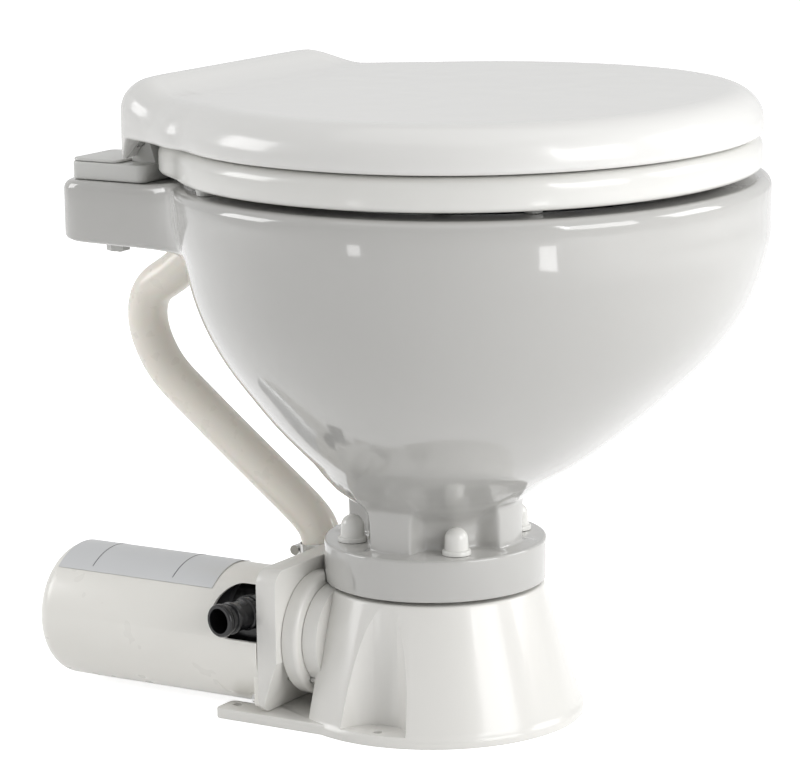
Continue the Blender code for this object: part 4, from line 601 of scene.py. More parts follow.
def superellipse(angle: float, half: float, centre: float, front: float, rear: float) -> float:
    """Distance from the origin to a superellipse outline along an angle.

    Args:
        angle: Direction from +X.
        half: Half width across Y.
        centre: Place of the centre on X.
        front: Reach to the front from the centre.
        rear: Reach to the rear from the centre.

    Returns:
        The distance.
    """
    ca, sa = math.cos(math.radians(angle)), math.sin(math.radians(angle))

    def inside(far: float) -> bool:
        x, y = far * ca - centre, far * sa
        reach = front if x > 0.0 else rear
        return abs(x / reach) ** PLAN_POWER + abs(y / half) ** PLAN_POWER < 1.0

    return edge_distance(inside)


def flowing(table: Sequence[Sequence[float]], level: float) -> list[float]:
    """Values of a table at a level, by a smooth curve through its rows.

    Args:
        table: Rows that start with their level, rising.
        level: The wanted level.

    Returns:
        The row's other values at the level.
    """
    level = min(max(level, table[0][0]), table[-1][0])
    i = max(k for k in range(len(table) - 1) if table[k][0] <= level)
    low, high = table[i], table[i + 1]
    before, after = table[max(i - 1, 0)], table[min(i + 2, len(table) - 1)]
    span = high[0] - low[0]
    t = (level - low[0]) / span
    out = []
    for k in range(1, len(low)):
        slope_low = (high[k] - before[k]) / (high[0] - before[0]) * span
        slope_high = (after[k] - low[k]) / (after[0] - low[0]) * span
        out.append(
            (2 * t ** 3 - 3 * t ** 2 + 1) * low[k] + (t ** 3 - 2 * t ** 2 + t) * slope_low
            + (-2 * t ** 3 + 3 * t ** 2) * high[k] + (t ** 3 - t ** 2) * slope_high
        )
    return out


def spline(p0: Vector, p1: Vector, p2: Vector, p3: Vector, t: float) -> Vector:
    """A point on the smooth curve from p1 to p2, at a share of the way."""
    return 0.5 * (2 * p1 + (p2 - p0) * t + (2 * p0 - 5 * p1 + 4 * p2 - p3) * t * t
                  + (3 * p1 - p0 - 3 * p2 + p3) * t ** 3)


def soft_larger(a: float, b: float, spread: float) -> float:
    """The larger of two values, with a rounded joint of some spread."""
    top = max(a, b)
    return top + spread * math.log(math.exp((a - top) / spread) + math.exp((b - top) / spread))


def soft_smaller(a: float, b: float, spread: float) -> float:
    """The smaller of two values, with a rounded joint of some spread."""
    return -soft_larger(-a, -b, spread)


def ease(t: float) -> float:
    """A soft step from nought to one."""
    t = min(max(t, 0.0), 1.0)
    return t * t * (3.0 - 2.0 * t)


def relax(points: Sequence[Point]) -> list[Point]:
    """Smooth a closed loop one step, keeping its symmetry."""
    count = len(points)
    return [
        (
            0.25 * points[i - 1][0] + 0.5 * points[i][0] + 0.25 * points[(i + 1) % count][0],
            0.25 * points[i - 1][1] + 0.5 * points[i][1] + 0.25 * points[(i + 1) % count][1],
        )
        for i in range(count)
    ]


def resample(points: Sequence[Point], count: int) -> list[Point]:
    """Equal steps along a closed smooth loop.

    Args:
        points: The loop's points.
        count: Number of steps.

    Returns:
        The new points, the first one kept.
    """
    loop = [Vector((x, y, 0.0)) for x, y in points]
    size = len(loop)
    lengths = [0.0]
    for i in range(size):
        lengths.append(lengths[-1] + (loop[(i + 1) % size] - loop[i]).length)
    out = []
    i = 0
    for k in range(count):
        want = lengths[-1] * k / count
        while lengths[i + 1] < want:
            i += 1
        t = (want - lengths[i]) / (lengths[i + 1] - lengths[i])
        point = spline(loop[(i - 1) % size], loop[i], loop[(i + 1) % size], loop[(i + 2) % size], t)
        out.append((point.x, point.y))
    return out


def shrink(points: Sequence[Point], amount: float) -> list[Point]:
    """Move every point of a counter-clockwise loop inwards, in small even steps."""
    count = len(points)
    steps = max(int(abs(amount) / SHRINK_STEP), 1)
    out = list(points)
    for _ in range(steps):
        moved = []
        for i, (x, y) in enumerate(out):
            ax, ay = out[(i - 1) % count]
            bx, by = out[(i + 1) % count]
            size = math.hypot(bx - ax, by - ay)
            moved.append((x - (by - ay) / size * amount / steps, y + (bx - ax) / size * amount / steps))
        out = relax(moved) if steps > 1 else moved
    return out


# Bowl


@dataclass
class Bowl:
    """The ceramic bowl with rim, deck, flush channel, neck with four piers, and foot."""

    sections: tuple[tuple[float, ...], ...] = (
        (0.1070, 0.0538, 0.0000, 0.0538, 0.0538),
        (0.1280, 0.0538, 0.0000, 0.0538, 0.0538),
        (0.1337, 0.0546, 0.0000, 0.0546, 0.0546),
        (0.1400, 0.0615, 0.0015, 0.0620, 0.0613),
        (0.1480, 0.0720, 0.0068, 0.0703, 0.0720),
        (0.1570, 0.0842, 0.0150, 0.0770, 0.0855),
        (0.1680, 0.0984, 0.0205, 0.0868, 0.0998),
        (0.1820, 0.1136, 0.0243, 0.1003, 0.1150),
        (0.2000, 0.1306, 0.0290, 0.1160, 0.1325),
        (0.2200, 0.1468, 0.0305, 0.1346, 0.1470),
        (0.2400, 0.1589, 0.0312, 0.1492, 0.1575),
        (0.2600, 0.1675, 0.0318, 0.1590, 0.1645),
        (0.2800, 0.1724, 0.0329, 0.1640, 0.1695),
        (0.2920, 0.1745, 0.0333, 0.1656, 0.1735),
        (0.3010, 0.1757, 0.0335, 0.1650, 0.1760),
        (0.3240, 0.1763, 0.0335, 0.1655, 0.1780),
    )
    inner: tuple[tuple[float, ...], ...] = (
        (0.1480, 0.0300, 0.0000, 0.0300, 0.0300),
        (0.1620, 0.0540, 0.0090, 0.0530, 0.0530),
        (0.1780, 0.0890, 0.0200, 0.0840, 0.0880),
        (0.2020, 0.1205, 0.0280, 0.1080, 0.1195),
        (0.2300, 0.1440, 0.0310, 0.1320, 0.1410),
        (0.2600, 0.1572, 0.0320, 0.1480, 0.1540),
        (0.2860, 0.1630, 0.0332, 0.1530, 0.1620),
        (0.3100, 0.1645, 0.0335, 0.1540, 0.1650),
    )
    body_levels: tuple[float, ...] = (
        0.1630, 0.1670, 0.1715, 0.1765, 0.1820, 0.1880, 0.1940, 0.2000, 0.2070, 0.2140, 0.2210, 0.2290,
        0.2370, 0.2450, 0.2530, 0.2610, 0.2690,
    )
    deck_steps: tuple[Point, ...] = (
        (0.2760, 0.00), (0.2800, 0.16), (0.2820, 0.36), (0.2836, 0.62), (0.2845, 0.84), (0.2855, 0.945),
        (0.2868, 0.985), (0.2885, 1.0), (0.2930, 1.0), (0.3010, 1.0), (0.3100, 1.0),
    )
    inner_levels: tuple[float, ...] = (
        0.3100, 0.3000, 0.2900, 0.2800, 0.2700, 0.2600, 0.2500, 0.2400, 0.2300, 0.2200, 0.2110, 0.2020,
        0.1930, 0.1850, 0.1780, 0.1720, 0.1670, 0.1620, 0.1570, 0.1520, 0.1480,
    )
    rim_top: float = 0.3244
    rim_level: float = 0.3240
    rim_edge: float = 0.0060
    rim_inner: tuple[float, float, float, float] = (0.1385, 0.0390, 0.1270, 0.1230)
    rim_shares: tuple[float, ...] = (0.06, 0.14, 0.22, 0.30, 0.38, 0.46, 0.54, 0.62, 0.70, 0.78, 0.86, 0.94)
    lip_bottom: float = 0.2950
    lip: float = 0.0100
    channel_top: float = 0.3125
    deck_top: float = 0.3218
    deck_rear: float = 0.2000
    deck_half: float = 0.1000
    deck_corner: float = 0.0150
    deck_blend: float = 0.0045
    deck_start: float = -0.1160
    deck_fade: float = 0.0200
    deck_angle: float = 95.0
    foot_r: float = 0.0665
    foot_bottom: float = 0.0819
    foot_top: float = 0.1070
    foot_edge: float = 0.0015
    neck_r: float = 0.0400
    neck_top: float = 0.1258
    neck_slope: float = 1.76
    neck_end: float = 0.1480
    neck_rings_end: float = 0.1600
    pier_r: float = 0.0538
    pier_half: float = 0.0142
    pier_flare: float = 0.0050
    pier_flare_fade: float = 0.0040
    pier_top: float = 0.1345
    edge_soft: float = 0.0017
    corner_soft: float = 0.0026
    fillet: tuple[Point, ...] = ((0.0016, 0.0), (0.0007, 0.0003), (0.0002, 0.0008))
    drain_r: float = 0.0262
    drain_top: float = 0.1380
    inlet: tuple[Place, Place, Place] = ((-0.1735, 0, 0.2610), (-0.1372, 0, 0.2911), (-0.1265, 0, 0.2999))
    inlet_r: float = 0.0087
    inlet_bore_r: float = 0.0064
    inlet_mouth: float = 0.0040
    deck_hole: Point = (0.27, 0.33)
    cap_r: float = 0.0069
    cap_h: float = 0.0160
    cap_foot: float = 0.1073
    cap_brim: tuple[Point, ...] = ((0.0086, 0.0), (0.0086, 0.0021), (0.0082, 0.0027), (0.0072, 0.0030))

    def angles(self) -> list[float]:
        """Directions round the bowl, close together at pier edges and deck corners."""
        half = {2.5 * i for i in range(73)}
        for centre in (0.0, 90.0, 180.0):
            for side in Side:
                half |= {round(centre + side.value * (13.0 + 0.5 * k), 3) for k in range(25)}
        half |= {round(145.0 + 0.8 * k, 3) for k in range(22)}
        ordered = [a for a in sorted(half) if 0.0 <= a <= 180.0]
        return ordered + [-a for a in reversed(ordered[1:-1])]

    def deck(self, angle: float) -> float:
        """Distance from the axis to the deck outline along an angle."""
        if abs(angle) < self.deck_angle:
            return 0.0
        ca, sa = math.cos(math.radians(angle)), abs(math.sin(math.radians(angle)))

        def inside(far: float) -> bool:
            past_x = max(self.deck_corner - self.deck_rear - far * ca, 0.0)
            past_y = max(far * sa - self.deck_half + self.deck_corner, 0.0)
            return math.hypot(past_x, past_y) < self.deck_corner

        return edge_distance(inside)

    def drop(self, x: float) -> float:
        """How far the deck lies under the rim."""
        return (self.rim_top - self.deck_top) * ease((self.deck_start - x) / self.deck_fade)

    def neck_reach(self, angle: float, level: float, outer: float) -> float:
        """Distance from the axis to the neck and its four piers, with soft corners.

        Args:
            angle: Direction from +X.
            level: Height.
            outer: Distance to the body above, or to the faces of the piers.

        Returns:
            The softened distance.
        """
        off = abs((angle + 45.0) % 90.0 - 45.0)
        rise = soft_larger(level - self.neck_top, 0.0, self.corner_soft)
        neck = soft_smaller(self.neck_r + self.neck_slope * rise, outer, self.edge_soft)
        flare = math.exp(min(level - self.pier_top, 0.0) / self.pier_flare_fade)
        half = self.pier_half + self.pier_flare * flare
        flank = half / math.sin(math.radians(max(off, 1.0)))
        pier = soft_smaller(outer, flank, self.edge_soft)
        whole = soft_larger(neck, pier, self.corner_soft)
        share = ease((level - self.pier_top) / (self.neck_end - self.pier_top))
        return whole + (outer - whole) * share

    def ring(self, reach: Callable[[float], float], level: Callable[[float], float]) -> Ring:
        """A ring from a reach by angle and a height by X."""
        out = []
        for angle in self.angles():
            far = reach(angle)
            x = far * math.cos(math.radians(angle))
            out.append(Vector((x, far * math.sin(math.radians(angle)), level(x))))
        return out

    def circle(self, radius: float, height: float) -> Ring:
        """A round ring."""
        return self.ring(lambda angle: radius, lambda x: height)

    def body_ring(
        self, height: float, share: float = 0.0, inset: float = 0.0, top: float | None = None
    ) -> Ring:
        """An outer ring, with a share of the deck and a step inwards."""
        values = flowing(self.sections, height)

        def reach(angle: float) -> float:
            far = superellipse(angle, *values)
            if share > 0.0:
                far += share * (soft_larger(far, self.deck(angle), self.deck_blend) - far)
            if height < self.neck_end:
                far = self.neck_reach(angle, height, far)
            return far - inset

        return self.ring(reach, lambda x: height if top is None else top - self.drop(x))

    def plain_ring(
        self, height: float, values: Sequence[float], inset: float = 0.0, dropped: bool = False
    ) -> Ring:
        """A superellipse ring, level or following the deck's drop."""
        return self.ring(
            lambda angle: superellipse(angle, *values) - inset,
            lambda x: height - (self.drop(x) if dropped else 0.0),
        )

    def top_ring(self, part: float) -> Ring:
        """A ring across the rim and deck, at a share of the way from the outer edge to the inner one."""
        values = flowing(self.sections, self.rim_level)

        def reach(angle: float) -> float:
            outer = soft_larger(superellipse(angle, *values), self.deck(angle), self.deck_blend) - self.rim_edge
            inner = superellipse(angle, *self.rim_inner) + self.rim_edge
            return outer + (inner - outer) * part

        return self.ring(reach, lambda x: self.rim_top - self.drop(x))

    def outer_rings(self) -> list[Ring]:
        """Section rings from the foot to the outer edge of the rim."""
        e, low = self.foot_edge, self.foot_top
        out = [self.circle(self.foot_r - e, self.foot_bottom)]
        edges = arc((self.foot_r - e, self.foot_bottom + e), e, -60.0, 0.0, 3)
        edges += arc((self.foot_r - e, self.foot_top - e), e, 0.0, 90.0, 4)
        out += [self.circle(a, b) for a, b in edges]
        for step_out, lift in self.fillet:
            out.append(self.ring(
                lambda a, more=step_out: self.neck_reach(a, low, self.pier_r) + more, lambda x, up=lift: low + up
            ))
        height = low + self.fillet[0][0]
        while height < self.neck_rings_end:
            out.append(self.body_ring(height))
            height += 0.0036 if height < 0.119 else 0.0009 if height < 0.141 else 0.0018
        out += [self.body_ring(height) for height in self.body_levels]
        out += [self.body_ring(height, share) for height, share in self.deck_steps]
        for a, b in arc((self.rim_edge, -self.rim_edge), self.rim_edge, 180.0, 90.0, 6):
            out.append(self.body_ring(self.rim_level, 1.0, a, self.rim_top + b))
        return out

    def inner_rings(self) -> list[Ring]:
        """Section rings from the inner edge of the rim, round the channel and down to the drain."""
        out = []
        for a, b in arc((-self.rim_edge, -self.rim_edge), self.rim_edge, 90.0, 0.0, 5):
            out.append(self.plain_ring(self.rim_top + b, self.rim_inner, a, True))
        half_lip = self.lip / 2
        out.append(self.plain_ring(self.lip_bottom + 0.0050, self.rim_inner))
        for a, b in arc((-half_lip, self.lip_bottom + half_lip), half_lip, 0.0, -180.0, 6):
            out.append(self.plain_ring(b, self.rim_inner, a))
        out.append(self.plain_ring(self.channel_top - 0.002, self.rim_inner, -self.lip))
        out.append(self.plain_ring(self.channel_top, self.rim_inner, -self.lip - 0.003))
        out.append(self.plain_ring(self.channel_top, flowing(self.inner, 0.31), 0.003))
        out += [self.plain_ring(height, flowing(self.inner, height)) for height in self.inner_levels]
        out.append(self.circle(self.drain_r + 0.0010, self.drain_top + 0.0050))
        out += [self.circle(self.drain_r, height) for height in (self.drain_top, self.foot_bottom)]
        return out

    def build(self) -> None:
        """Make the bowl with its flush inlet and bolt holes."""
        rings = self.outer_rings() + [self.top_ring(part) for part in self.rim_shares] + self.inner_rings()
        bowl = loft("bowl_glazed", rings, closed=True)
        tip, root, end = (Vector(place) for place in self.inlet)
        out = (tip - root).normalized()
        join(bowl, rod("stub", tip, root, self.inlet_r, 40))
        cut(bowl, rod("bore", tip + out * self.inlet_mouth, end, self.inlet_bore_r, 32))
        for place in around((0.0, 0.0), BOLT_CIRCLE_R, BOLT_ANGLES):
            drill(bowl, "Z", place, self.foot_bottom - PAST_MORE, self.foot_top + PAST_MORE, BOLT_HOLE_R)
        for side in Side:
            drill(bowl, "Z", (HINGE_BOLT[0], HINGE_BOLT[1] * side.value), *self.deck_hole, BOLT_HOLE_R)
        dress(bowl, GLAZE, Body.TOILET, ["bowl"], 46.0)

    def build_caps(self) -> None:
        """Make the domed caps over the bowl bolts, modelled once and copied."""
        dome = list(self.cap_brim) + arc((0.0, self.cap_h - self.cap_r), self.cap_r, 2.0, 90.0, 12)
        dome[-1] = (0.0, self.cap_h)
        dome += [(0.0, self.cap_h - 0.0014), (0.0036, self.cap_h - 0.0026), (0.0058, 0.0090), (0.0058, 0.0)]
        first = turned("cap_form", dome[::-1], (0, 0, 0), (0, 0, 1), 64, closed=True)
        for name, place in zip("abcd", around((0.0, 0.0), BOLT_CIRCLE_R, BOLT_ANGLES)):
            mesh = first.data.copy()
            mesh.transform(Matrix.Translation(Vector((*place, self.cap_foot))))
            cap = bpy.data.objects.new(f"bolt_cap_gloss_{name}", mesh)
            bpy.context.scene.collection.objects.link(cap)
            dress(cap, SEAT_GLOSS, Body.TOILET, [f"bolt_cap_{name}"])
        bpy.data.objects.remove(first, do_unlink=True)


# Seat and lid


@dataclass(frozen=True)
class Outline:
    """A plan outline: a superellipse with a drawn tail at the rear."""

    half: float
    centre: float
    front: float
    rear: float
    end: float
    tail: tuple[Point, ...]

    def loop(self, count: int) -> list[Point]:
        """The whole outline in equal steps, counter-clockwise from the front."""
        side: list[Point] = []
        share = 2 / PLAN_POWER
        for i in range(91):
            a = math.radians(2.0 * i)
            ca, sa = math.cos(a), math.sin(a)
            x = self.centre + math.copysign(abs(ca) ** share, ca) * (self.front if ca > 0 else self.rear)
            if x < self.end:
                break
            side.append((x, self.half * abs(sa) ** share))
        side += list(self.tail)
        loop = resample(side + [(x, -y) for x, y in reversed(side[1:-1])], count)
        for _ in range(6):
            loop = relax(loop)
        return loop


SEAT_LINE = Outline(0.1735, 0.0335, 0.1598, 0.1780, -0.1050, (
    (-0.1180, 0.1040), (-0.1270, 0.0960), (-0.1335, 0.0870), (-0.1365, 0.0760), (-0.1375, 0.0600),
    (-0.1375, 0.0300), (-0.1375, 0.0000),
))
LID_LINE = Outline(0.1745, 0.0335, 0.1606, 0.1790, -0.0880, (
    (-0.0990, 0.1310), (-0.1130, 0.1195), (-0.1270, 0.1115), (-0.1400, 0.1065), (-0.1500, 0.1015),
    (-0.1555, 0.0930), (-0.1567, 0.0800), (-0.1567, 0.0400), (-0.1567, 0.0000),
))


@dataclass
class Seat:
    """The seat ring with its hinge arms."""

    outline: Outline = SEAT_LINE
    bottom: float = 0.3287
    top: float = 0.3485
    edge: float = 0.0080
    low_edge: float = 0.0035
    crown: float = 0.0012
    hole: tuple[float, float, float, float] = (0.1080, 0.0400, 0.1060, 0.1160)
    hole_centre: float = 0.020
    count: int = 240
    arm_y: Point = (0.0540, 0.0650)
    arm_root: tuple[Point, ...] = ((-0.1420, 0.3483), (-0.1300, 0.3470), (-0.1300, 0.3380), (-0.1440, 0.3380))
    bumpers: tuple[Point, ...] = ((0.1290, 0.1080), (-0.0700, 0.1310))
    bumper_depth: float = 0.0053

    def hole_loop(self, outer: Sequence[Point]) -> list[Point]:
        """Points of the opening in the directions of the outer ones."""
        out = []
        half, centre, front, rear = self.hole
        for x, y in outer:
            a = math.degrees(math.atan2(y, x - self.hole_centre))
            far = superellipse(a, half, centre - self.hole_centre, front, rear)
            out += around((self.hole_centre, 0.0), far, [a])
        return out

    def build(self) -> None:
        """Make the ring, its arms, their pin holes and the holes of the bumpers."""
        outer = self.outline.loop(self.count)
        hole = self.hole_loop(outer)
        e, low = self.edge, self.low_edge
        rows = [(shrink(outer, a), self.bottom + b) for a, b in arc((low, low), low, 270.0, 180.0, 5)]
        for a, b in arc((e, -e), e, 180.0, 90.0, 8):
            rows.append((shrink(outer, a), self.top + b - self.crown * 0.5 * (a / e)))
        for share in (0.25, 0.5, 0.75):
            mid = [(p[0] + (q[0] - p[0]) * share, p[1] + (q[1] - p[1]) * share) for p, q in zip(outer, hole)]
            rows.append((mid, self.top - self.crown * (1.2 - share) * 0.4))
        for a, b in arc((-e, -e), e, 90.0, 0.0, 8):
            rows.append((shrink(hole, a), self.top + b - self.crown))
        for a, b in arc((-low, low), low, 0.0, -90.0, 5):
            rows.append((shrink(hole, a), self.bottom + b))
        seat = loft("seat_moulded", [[Vector((x, y, z)) for x, y in loop] for loop, z in rows], closed=True)
        arm = arc(HINGE, KNUCKLE_R, 270.0, 90.0, 16) + list(self.arm_root)
        for side in Side:
            near, far = side.span(*self.arm_y)
            join(seat, soften(prism("arm", arm, near, far, "Y"), 0.0008, 2))
            drill(seat, "Y", HINGE, near - PAST, far + PAST, PIN_HOLE_R)
        for x, y in self.bumpers:
            for side in Side:
                drill(seat, "Z", (x, y * side.value), self.bottom - PAST_MORE, self.bottom + self.bumper_depth,
                      SCREW_HOLE_R, 20)
        dress(seat, SEAT_GLOSS, Body.SEAT, ["seat"])


@dataclass
class Lid:
    """The moulded lid with its raised rear, skirt and hinge pockets."""

    outline: Outline = LID_LINE
    bottom: float = 0.3491
    top: float = 0.3755
    round_r: float = 0.0200
    low_edge: float = 0.0028
    rise: float = 0.0095
    rise_start: float = -0.1080
    rise_end: float = -0.1440
    skirt: float = 0.3362
    skirt_x: float = -0.1430
    skirt_fade: float = 0.0075
    crown: float = 0.0012
    crown_centre: float = 0.03
    crown_r: float = 0.17
    groove: tuple[Point, ...] = ((0.0160, 0.0030), (0.0145, 0.0024), (0.0130, 0.0006), (0.0115, 0.0))
    shares: tuple[float, ...] = (0.05, 0.11, 0.18, 0.26, 0.36, 0.48, 0.62, 0.78, 0.90, 0.99998)
    pocket_x: Point = (-0.1700, -0.1408)
    pocket_y: Point = (0.0533, 0.0808)
    pocket_top: float = 0.3548
    pin_y: Point = (0.0487, 0.0873)
    count: int = 240

    def height(self, x: float, y: float) -> float:
        """Top of the lid at a place."""
        rise = self.rise * ease((self.rise_start - x) / (self.rise_start - self.rise_end))
        off = ((x - self.crown_centre) / self.crown_r) ** 2 + (y / self.crown_r) ** 2
        bulge = self.crown * (1.0 - min(off, 1.0))
        return self.top + rise + bulge - self.crown * 0.5

    def floor(self, x: float) -> float:
        """Lower edge of the lid at a place."""
        return self.bottom - (self.bottom - self.skirt) * ease((self.skirt_x - x) / self.skirt_fade)

    def inward(self, ring: Ring, level: Callable[[float, float], float]) -> list[Ring]:
        """Rings from an edge ring to the middle of the lid.

        Args:
            ring: The edge ring.
            level: Height at a place.

        Returns:
            The rings, the last one almost a point.
        """
        middle = Vector((self.outline.centre, 0.0, 0.0))
        out = []
        for share in self.shares:
            spots = [spot.lerp(middle, share) for spot in ring]
            out.append([Vector((spot.x, spot.y, level(spot.x, spot.y))) for spot in spots])
        return out

    def build(self) -> None:
        """Make the lid, its pockets and its pin holes."""
        outer = self.outline.loop(self.count)
        r, low = self.round_r, self.low_edge
        under = [
            [Vector((x, y, self.bottom + lift)) for x, y in shrink(outer, inset)] for inset, lift in self.groove
        ]
        rings = self.inward(under[0], lambda x, y: self.bottom + self.groove[0][1])[::-1] + under
        for a, b in arc((low, low), low, 270.0, 180.0, 5):
            rings.append([Vector((x, y, self.floor(x) + b)) for x, y in shrink(outer, a)])
        for t in (0.25, 0.5, 0.75):
            rings.append([
                Vector((x, y, (self.floor(x) + low) * (1 - t) + (self.height(x, y) - r) * t)) for x, y in outer
            ])
        for a, b in arc((r, -r), r, 180.0, 90.0, 12):
            rings.append([Vector((x, y, self.height(x, y) + b)) for x, y in shrink(outer, a)])
        rings += self.inward(rings[-1], self.height)
        lid = loft("lid_moulded", rings)
        merge_doubles(lid, MERGE_LID)
        rear, front = self.pocket_x
        for side in Side:
            near, far = side.span(*self.pocket_y)
            pocket = [(rear, near), (front, near), (front, far), (rear, far)]
            cut(lid, prism("pocket", pocket, self.skirt - PAST_MORE, self.pocket_top))
            drill(lid, "Y", HINGE, *side.span(*self.pin_y), PIN_HOLE_R)
        dress(lid, LID_GLOSS, Body.LID, ["lid"])


@dataclass
class Hinges:
    """Hinge blocks on the deck with their snap covers."""

    x: Point = (-0.1920, -0.1395)
    y: Point = (0.0500, 0.0940)
    bottom: float = 0.3221
    top: float = 0.3326
    edge: float = 0.0055
    neck_y: Point = (0.0660, 0.0800)
    neck_x: Point = (-0.1572, -0.1405)
    bolt_seat: float = 0.3267
    bolt_head_r: float = 0.0085
    flap_x: Point = (-0.1915, -0.1580)
    flap_inset: Point = (0.0012, 0.0006)
    flap_gap: float = 0.0003
    flap_thick: float = 0.0018

    def build(self) -> None:
        """Make both blocks and covers."""
        for side, body in ((Side.NEAR, Body.FLAP_NEAR), (Side.FAR, Body.FLAP_FAR)):
            self.build_block(side)
            self.build_flap(side, body)

    def build_block(self, side: Side) -> None:
        """Make one block with its knuckle and holes."""
        name = side.name.lower()
        low, high = side.span(*self.y)
        outline = rounded_box((self.x[0], low), (self.x[1], high), self.edge)
        block = prism("block", outline, self.bottom, self.top)
        soften(block, 0.0010, 3)
        block.name = f"hinge_block_body_{name}"
        rear, front = self.neck_x
        neck = [(rear, self.top - 0.003), (front, self.top - 0.003), (front, self.top + 0.001)]
        neck += arc(HINGE, KNUCKLE_R, 0.0, 180.0, 16) + [(rear, self.top + 0.0016)]
        low, high = side.span(*self.neck_y)
        join(block, soften(prism("neck", neck, low, high, "Y"), 0.0007, 2))
        drill(block, "Y", HINGE, low - PAST, high + PAST, PIN_HOLE_R)
        place = (HINGE_BOLT[0], HINGE_BOLT[1] * side.value)
        drill(block, "Z", place, self.bottom - PAST, self.top + PAST, BOLT_HOLE_R)
        drill(block, "Z", place, self.bolt_seat, self.top + PAST, self.bolt_head_r, 40)
        dress(block, HINGE_SATIN, Body.TOILET, [f"hinge_block_{name}"])

    def build_flap(self, side: Side, body: Body) -> None:
        """Make one snap cover."""
        name = side.name.lower()
        low, high = side.span(self.y[0] + self.flap_inset[0], self.y[1] - self.flap_inset[1])
        base = self.top + self.flap_gap
        outline = rounded_box((self.flap_x[0], low), (self.flap_x[1], high), self.edge * 0.9)
        flap = prism("flap", outline, base, base + self.flap_thick)
        flap.name = f"hinge_cover_snap_{name}"
        soften(flap, 0.0008, 3)
        dress(flap, HINGE_SATIN, body, [f"hinge_cover_{name}"])


# Base, pump and motor


@dataclass
class PumpBase:
    """The moulded base: cone, sump, flat pump face, ring, foot plate and recesses."""

    top: float = 0.0795
    top_r: float = 0.0650
    cone_r: float = 0.0868
    foot_r: float = 0.0885
    ledge: float = 0.0065
    sump: tuple[Point, ...] = ((0.0, 0.0070), (0.0220, 0.0070), (0.0280, 0.0095), (0.0300, 0.0150))
    face_x: float = -0.0440
    ring_x: Point = (-0.0500, -0.0400)
    ring_r: float = 0.0310
    recess: Point = (0.0062, 0.0870)
    recess_r: float = 0.0215
    plate: tuple[Point, Point] = ((-0.0785, -0.0830), (0.0, 0.0830))
    tab_x: Point = (-0.1060, -0.0700)
    tab_y: Point = (0.0635, 0.0830)
    corner: float = 0.0040
    floor_holes: tuple[Point, ...] = ((-0.0972, 0.0710), (0.0070, 0.0800))
    floor_hole_r: float = 0.0026
    chamber_x: Point = (-0.0530, -0.0466)
    chamber_r: float = 0.0245
    throat: Point = (-0.0330, 0.0460)
    throat_x: Point = (-0.0470, 0.0)
    throat_r: float = 0.0155
    relief_x: Point = (-0.0925, -0.0749)
    relief_r: float = 0.0421
    pockets: tuple[Point, ...] = ((-84.0, -47.0), (-43.0, -4.0), (4.0, 43.0), (47.0, 84.0), (96.0, 127.0))
    pocket_r: Point = (0.0360, 0.0595)
    pocket_top: float = 0.0640
    bolt_hole: Point = (0.0680, 0.0033)
    screw_hole_x: Point = (-0.0540, -0.0321)

    def build(self) -> None:
        """Make the base."""
        body = self.build_cone()
        self.build_feet(body)
        self.cut_insides(body)
        dress(body, BASE_GLOSS, Body.TOILET, ["pump_base"], 32.0)

    def build_cone(self) -> bpy.types.Object:
        """Make the cone with its flat pump face, pump ring and two recesses."""
        corners = [
            (self.sump[-1][0], self.top, 0.0), (self.top_r, self.top, 0.0016),
            (self.cone_r, self.ledge + 0.0005, 0.0030),
            (self.foot_r, self.ledge - 0.0022, 0.0020), (self.foot_r, 0.0, 0.0008), (0.0, 0.0, 0.0),
        ]
        profile = round_profile(corners) + list(self.sump)
        body = turned("base_moulded", profile, (0, 0, 0), (0, 0, 1), 144, closed=True)
        far = 0.12
        box = [(-far, -far), (self.face_x, -far), (self.face_x, far), (-far, far)]
        cut(body, prism("slab", box, self.ledge, self.top + 0.01))
        (rear, front), r = self.ring_x, self.ring_r
        ring = round_profile([(0.0, rear, 0.0), (r, rear, 0.0008), (r, front, 0.0), (0.0, front, 0.0)])
        join(body, turned("ring", ring, (0, *PUMP_AXIS), (1, 0, 0), 96, closed=False))
        for side in Side:
            place = (self.recess[0], self.recess[1] * side.value)
            drill(body, "Z", place, self.ledge, self.top + 0.01, self.recess_r, 72)
        return soften(body, 0.0012, 3, 42.0)

    def build_feet(self, body: bpy.types.Object) -> None:
        """Add the foot plate and the floor tabs with their holes."""
        join(body, soften(prism("plate", rounded_box(*self.plate, self.corner), 0.0, self.ledge), 0.0008, 2))
        for side in Side:
            low, high = side.span(*self.tab_y)
            outline = rounded_box((self.tab_x[0], low), (self.tab_x[1], high), self.corner)
            join(body, soften(prism("tab", outline, 0.0, self.ledge), 0.0008, 2))
            for x, y in self.floor_holes:
                drill(body, "Z", (x, y * side.value), -PAST, self.ledge + PAST, self.floor_hole_r, 28)

    def cut_insides(self, body: bpy.types.Object) -> None:
        """Cut the pump chamber, throat, motor relief, underside pockets and screw holes."""
        drill(body, "X", PUMP_AXIS, *self.chamber_x, self.chamber_r, 72)
        drill(body, "X", self.throat, *self.throat_x, self.throat_r, 40)
        drill(body, "X", MOTOR_AXIS, *self.relief_x, self.relief_r, 72)
        small, large = self.pocket_r
        for start, end in self.pockets:
            pocket = arc((0, 0), large, start, end, 10) + arc((0, 0), small, end, start, 10)
            cut(body, prism("pocket", pocket, -PAST_MORE, self.pocket_top))
        low, radius = self.bolt_hole
        for place in around((0.0, 0.0), BOLT_CIRCLE_R, BOLT_ANGLES):
            drill(body, "Z", place, low, self.top + PAST_MORE, radius)
        for place in around(PUMP_AXIS, PUMP_SCREW_CIRCLE_R, PUMP_SCREW_ANGLES):
            drill(body, "X", place, *self.screw_hole_x, 0.00231, 23)


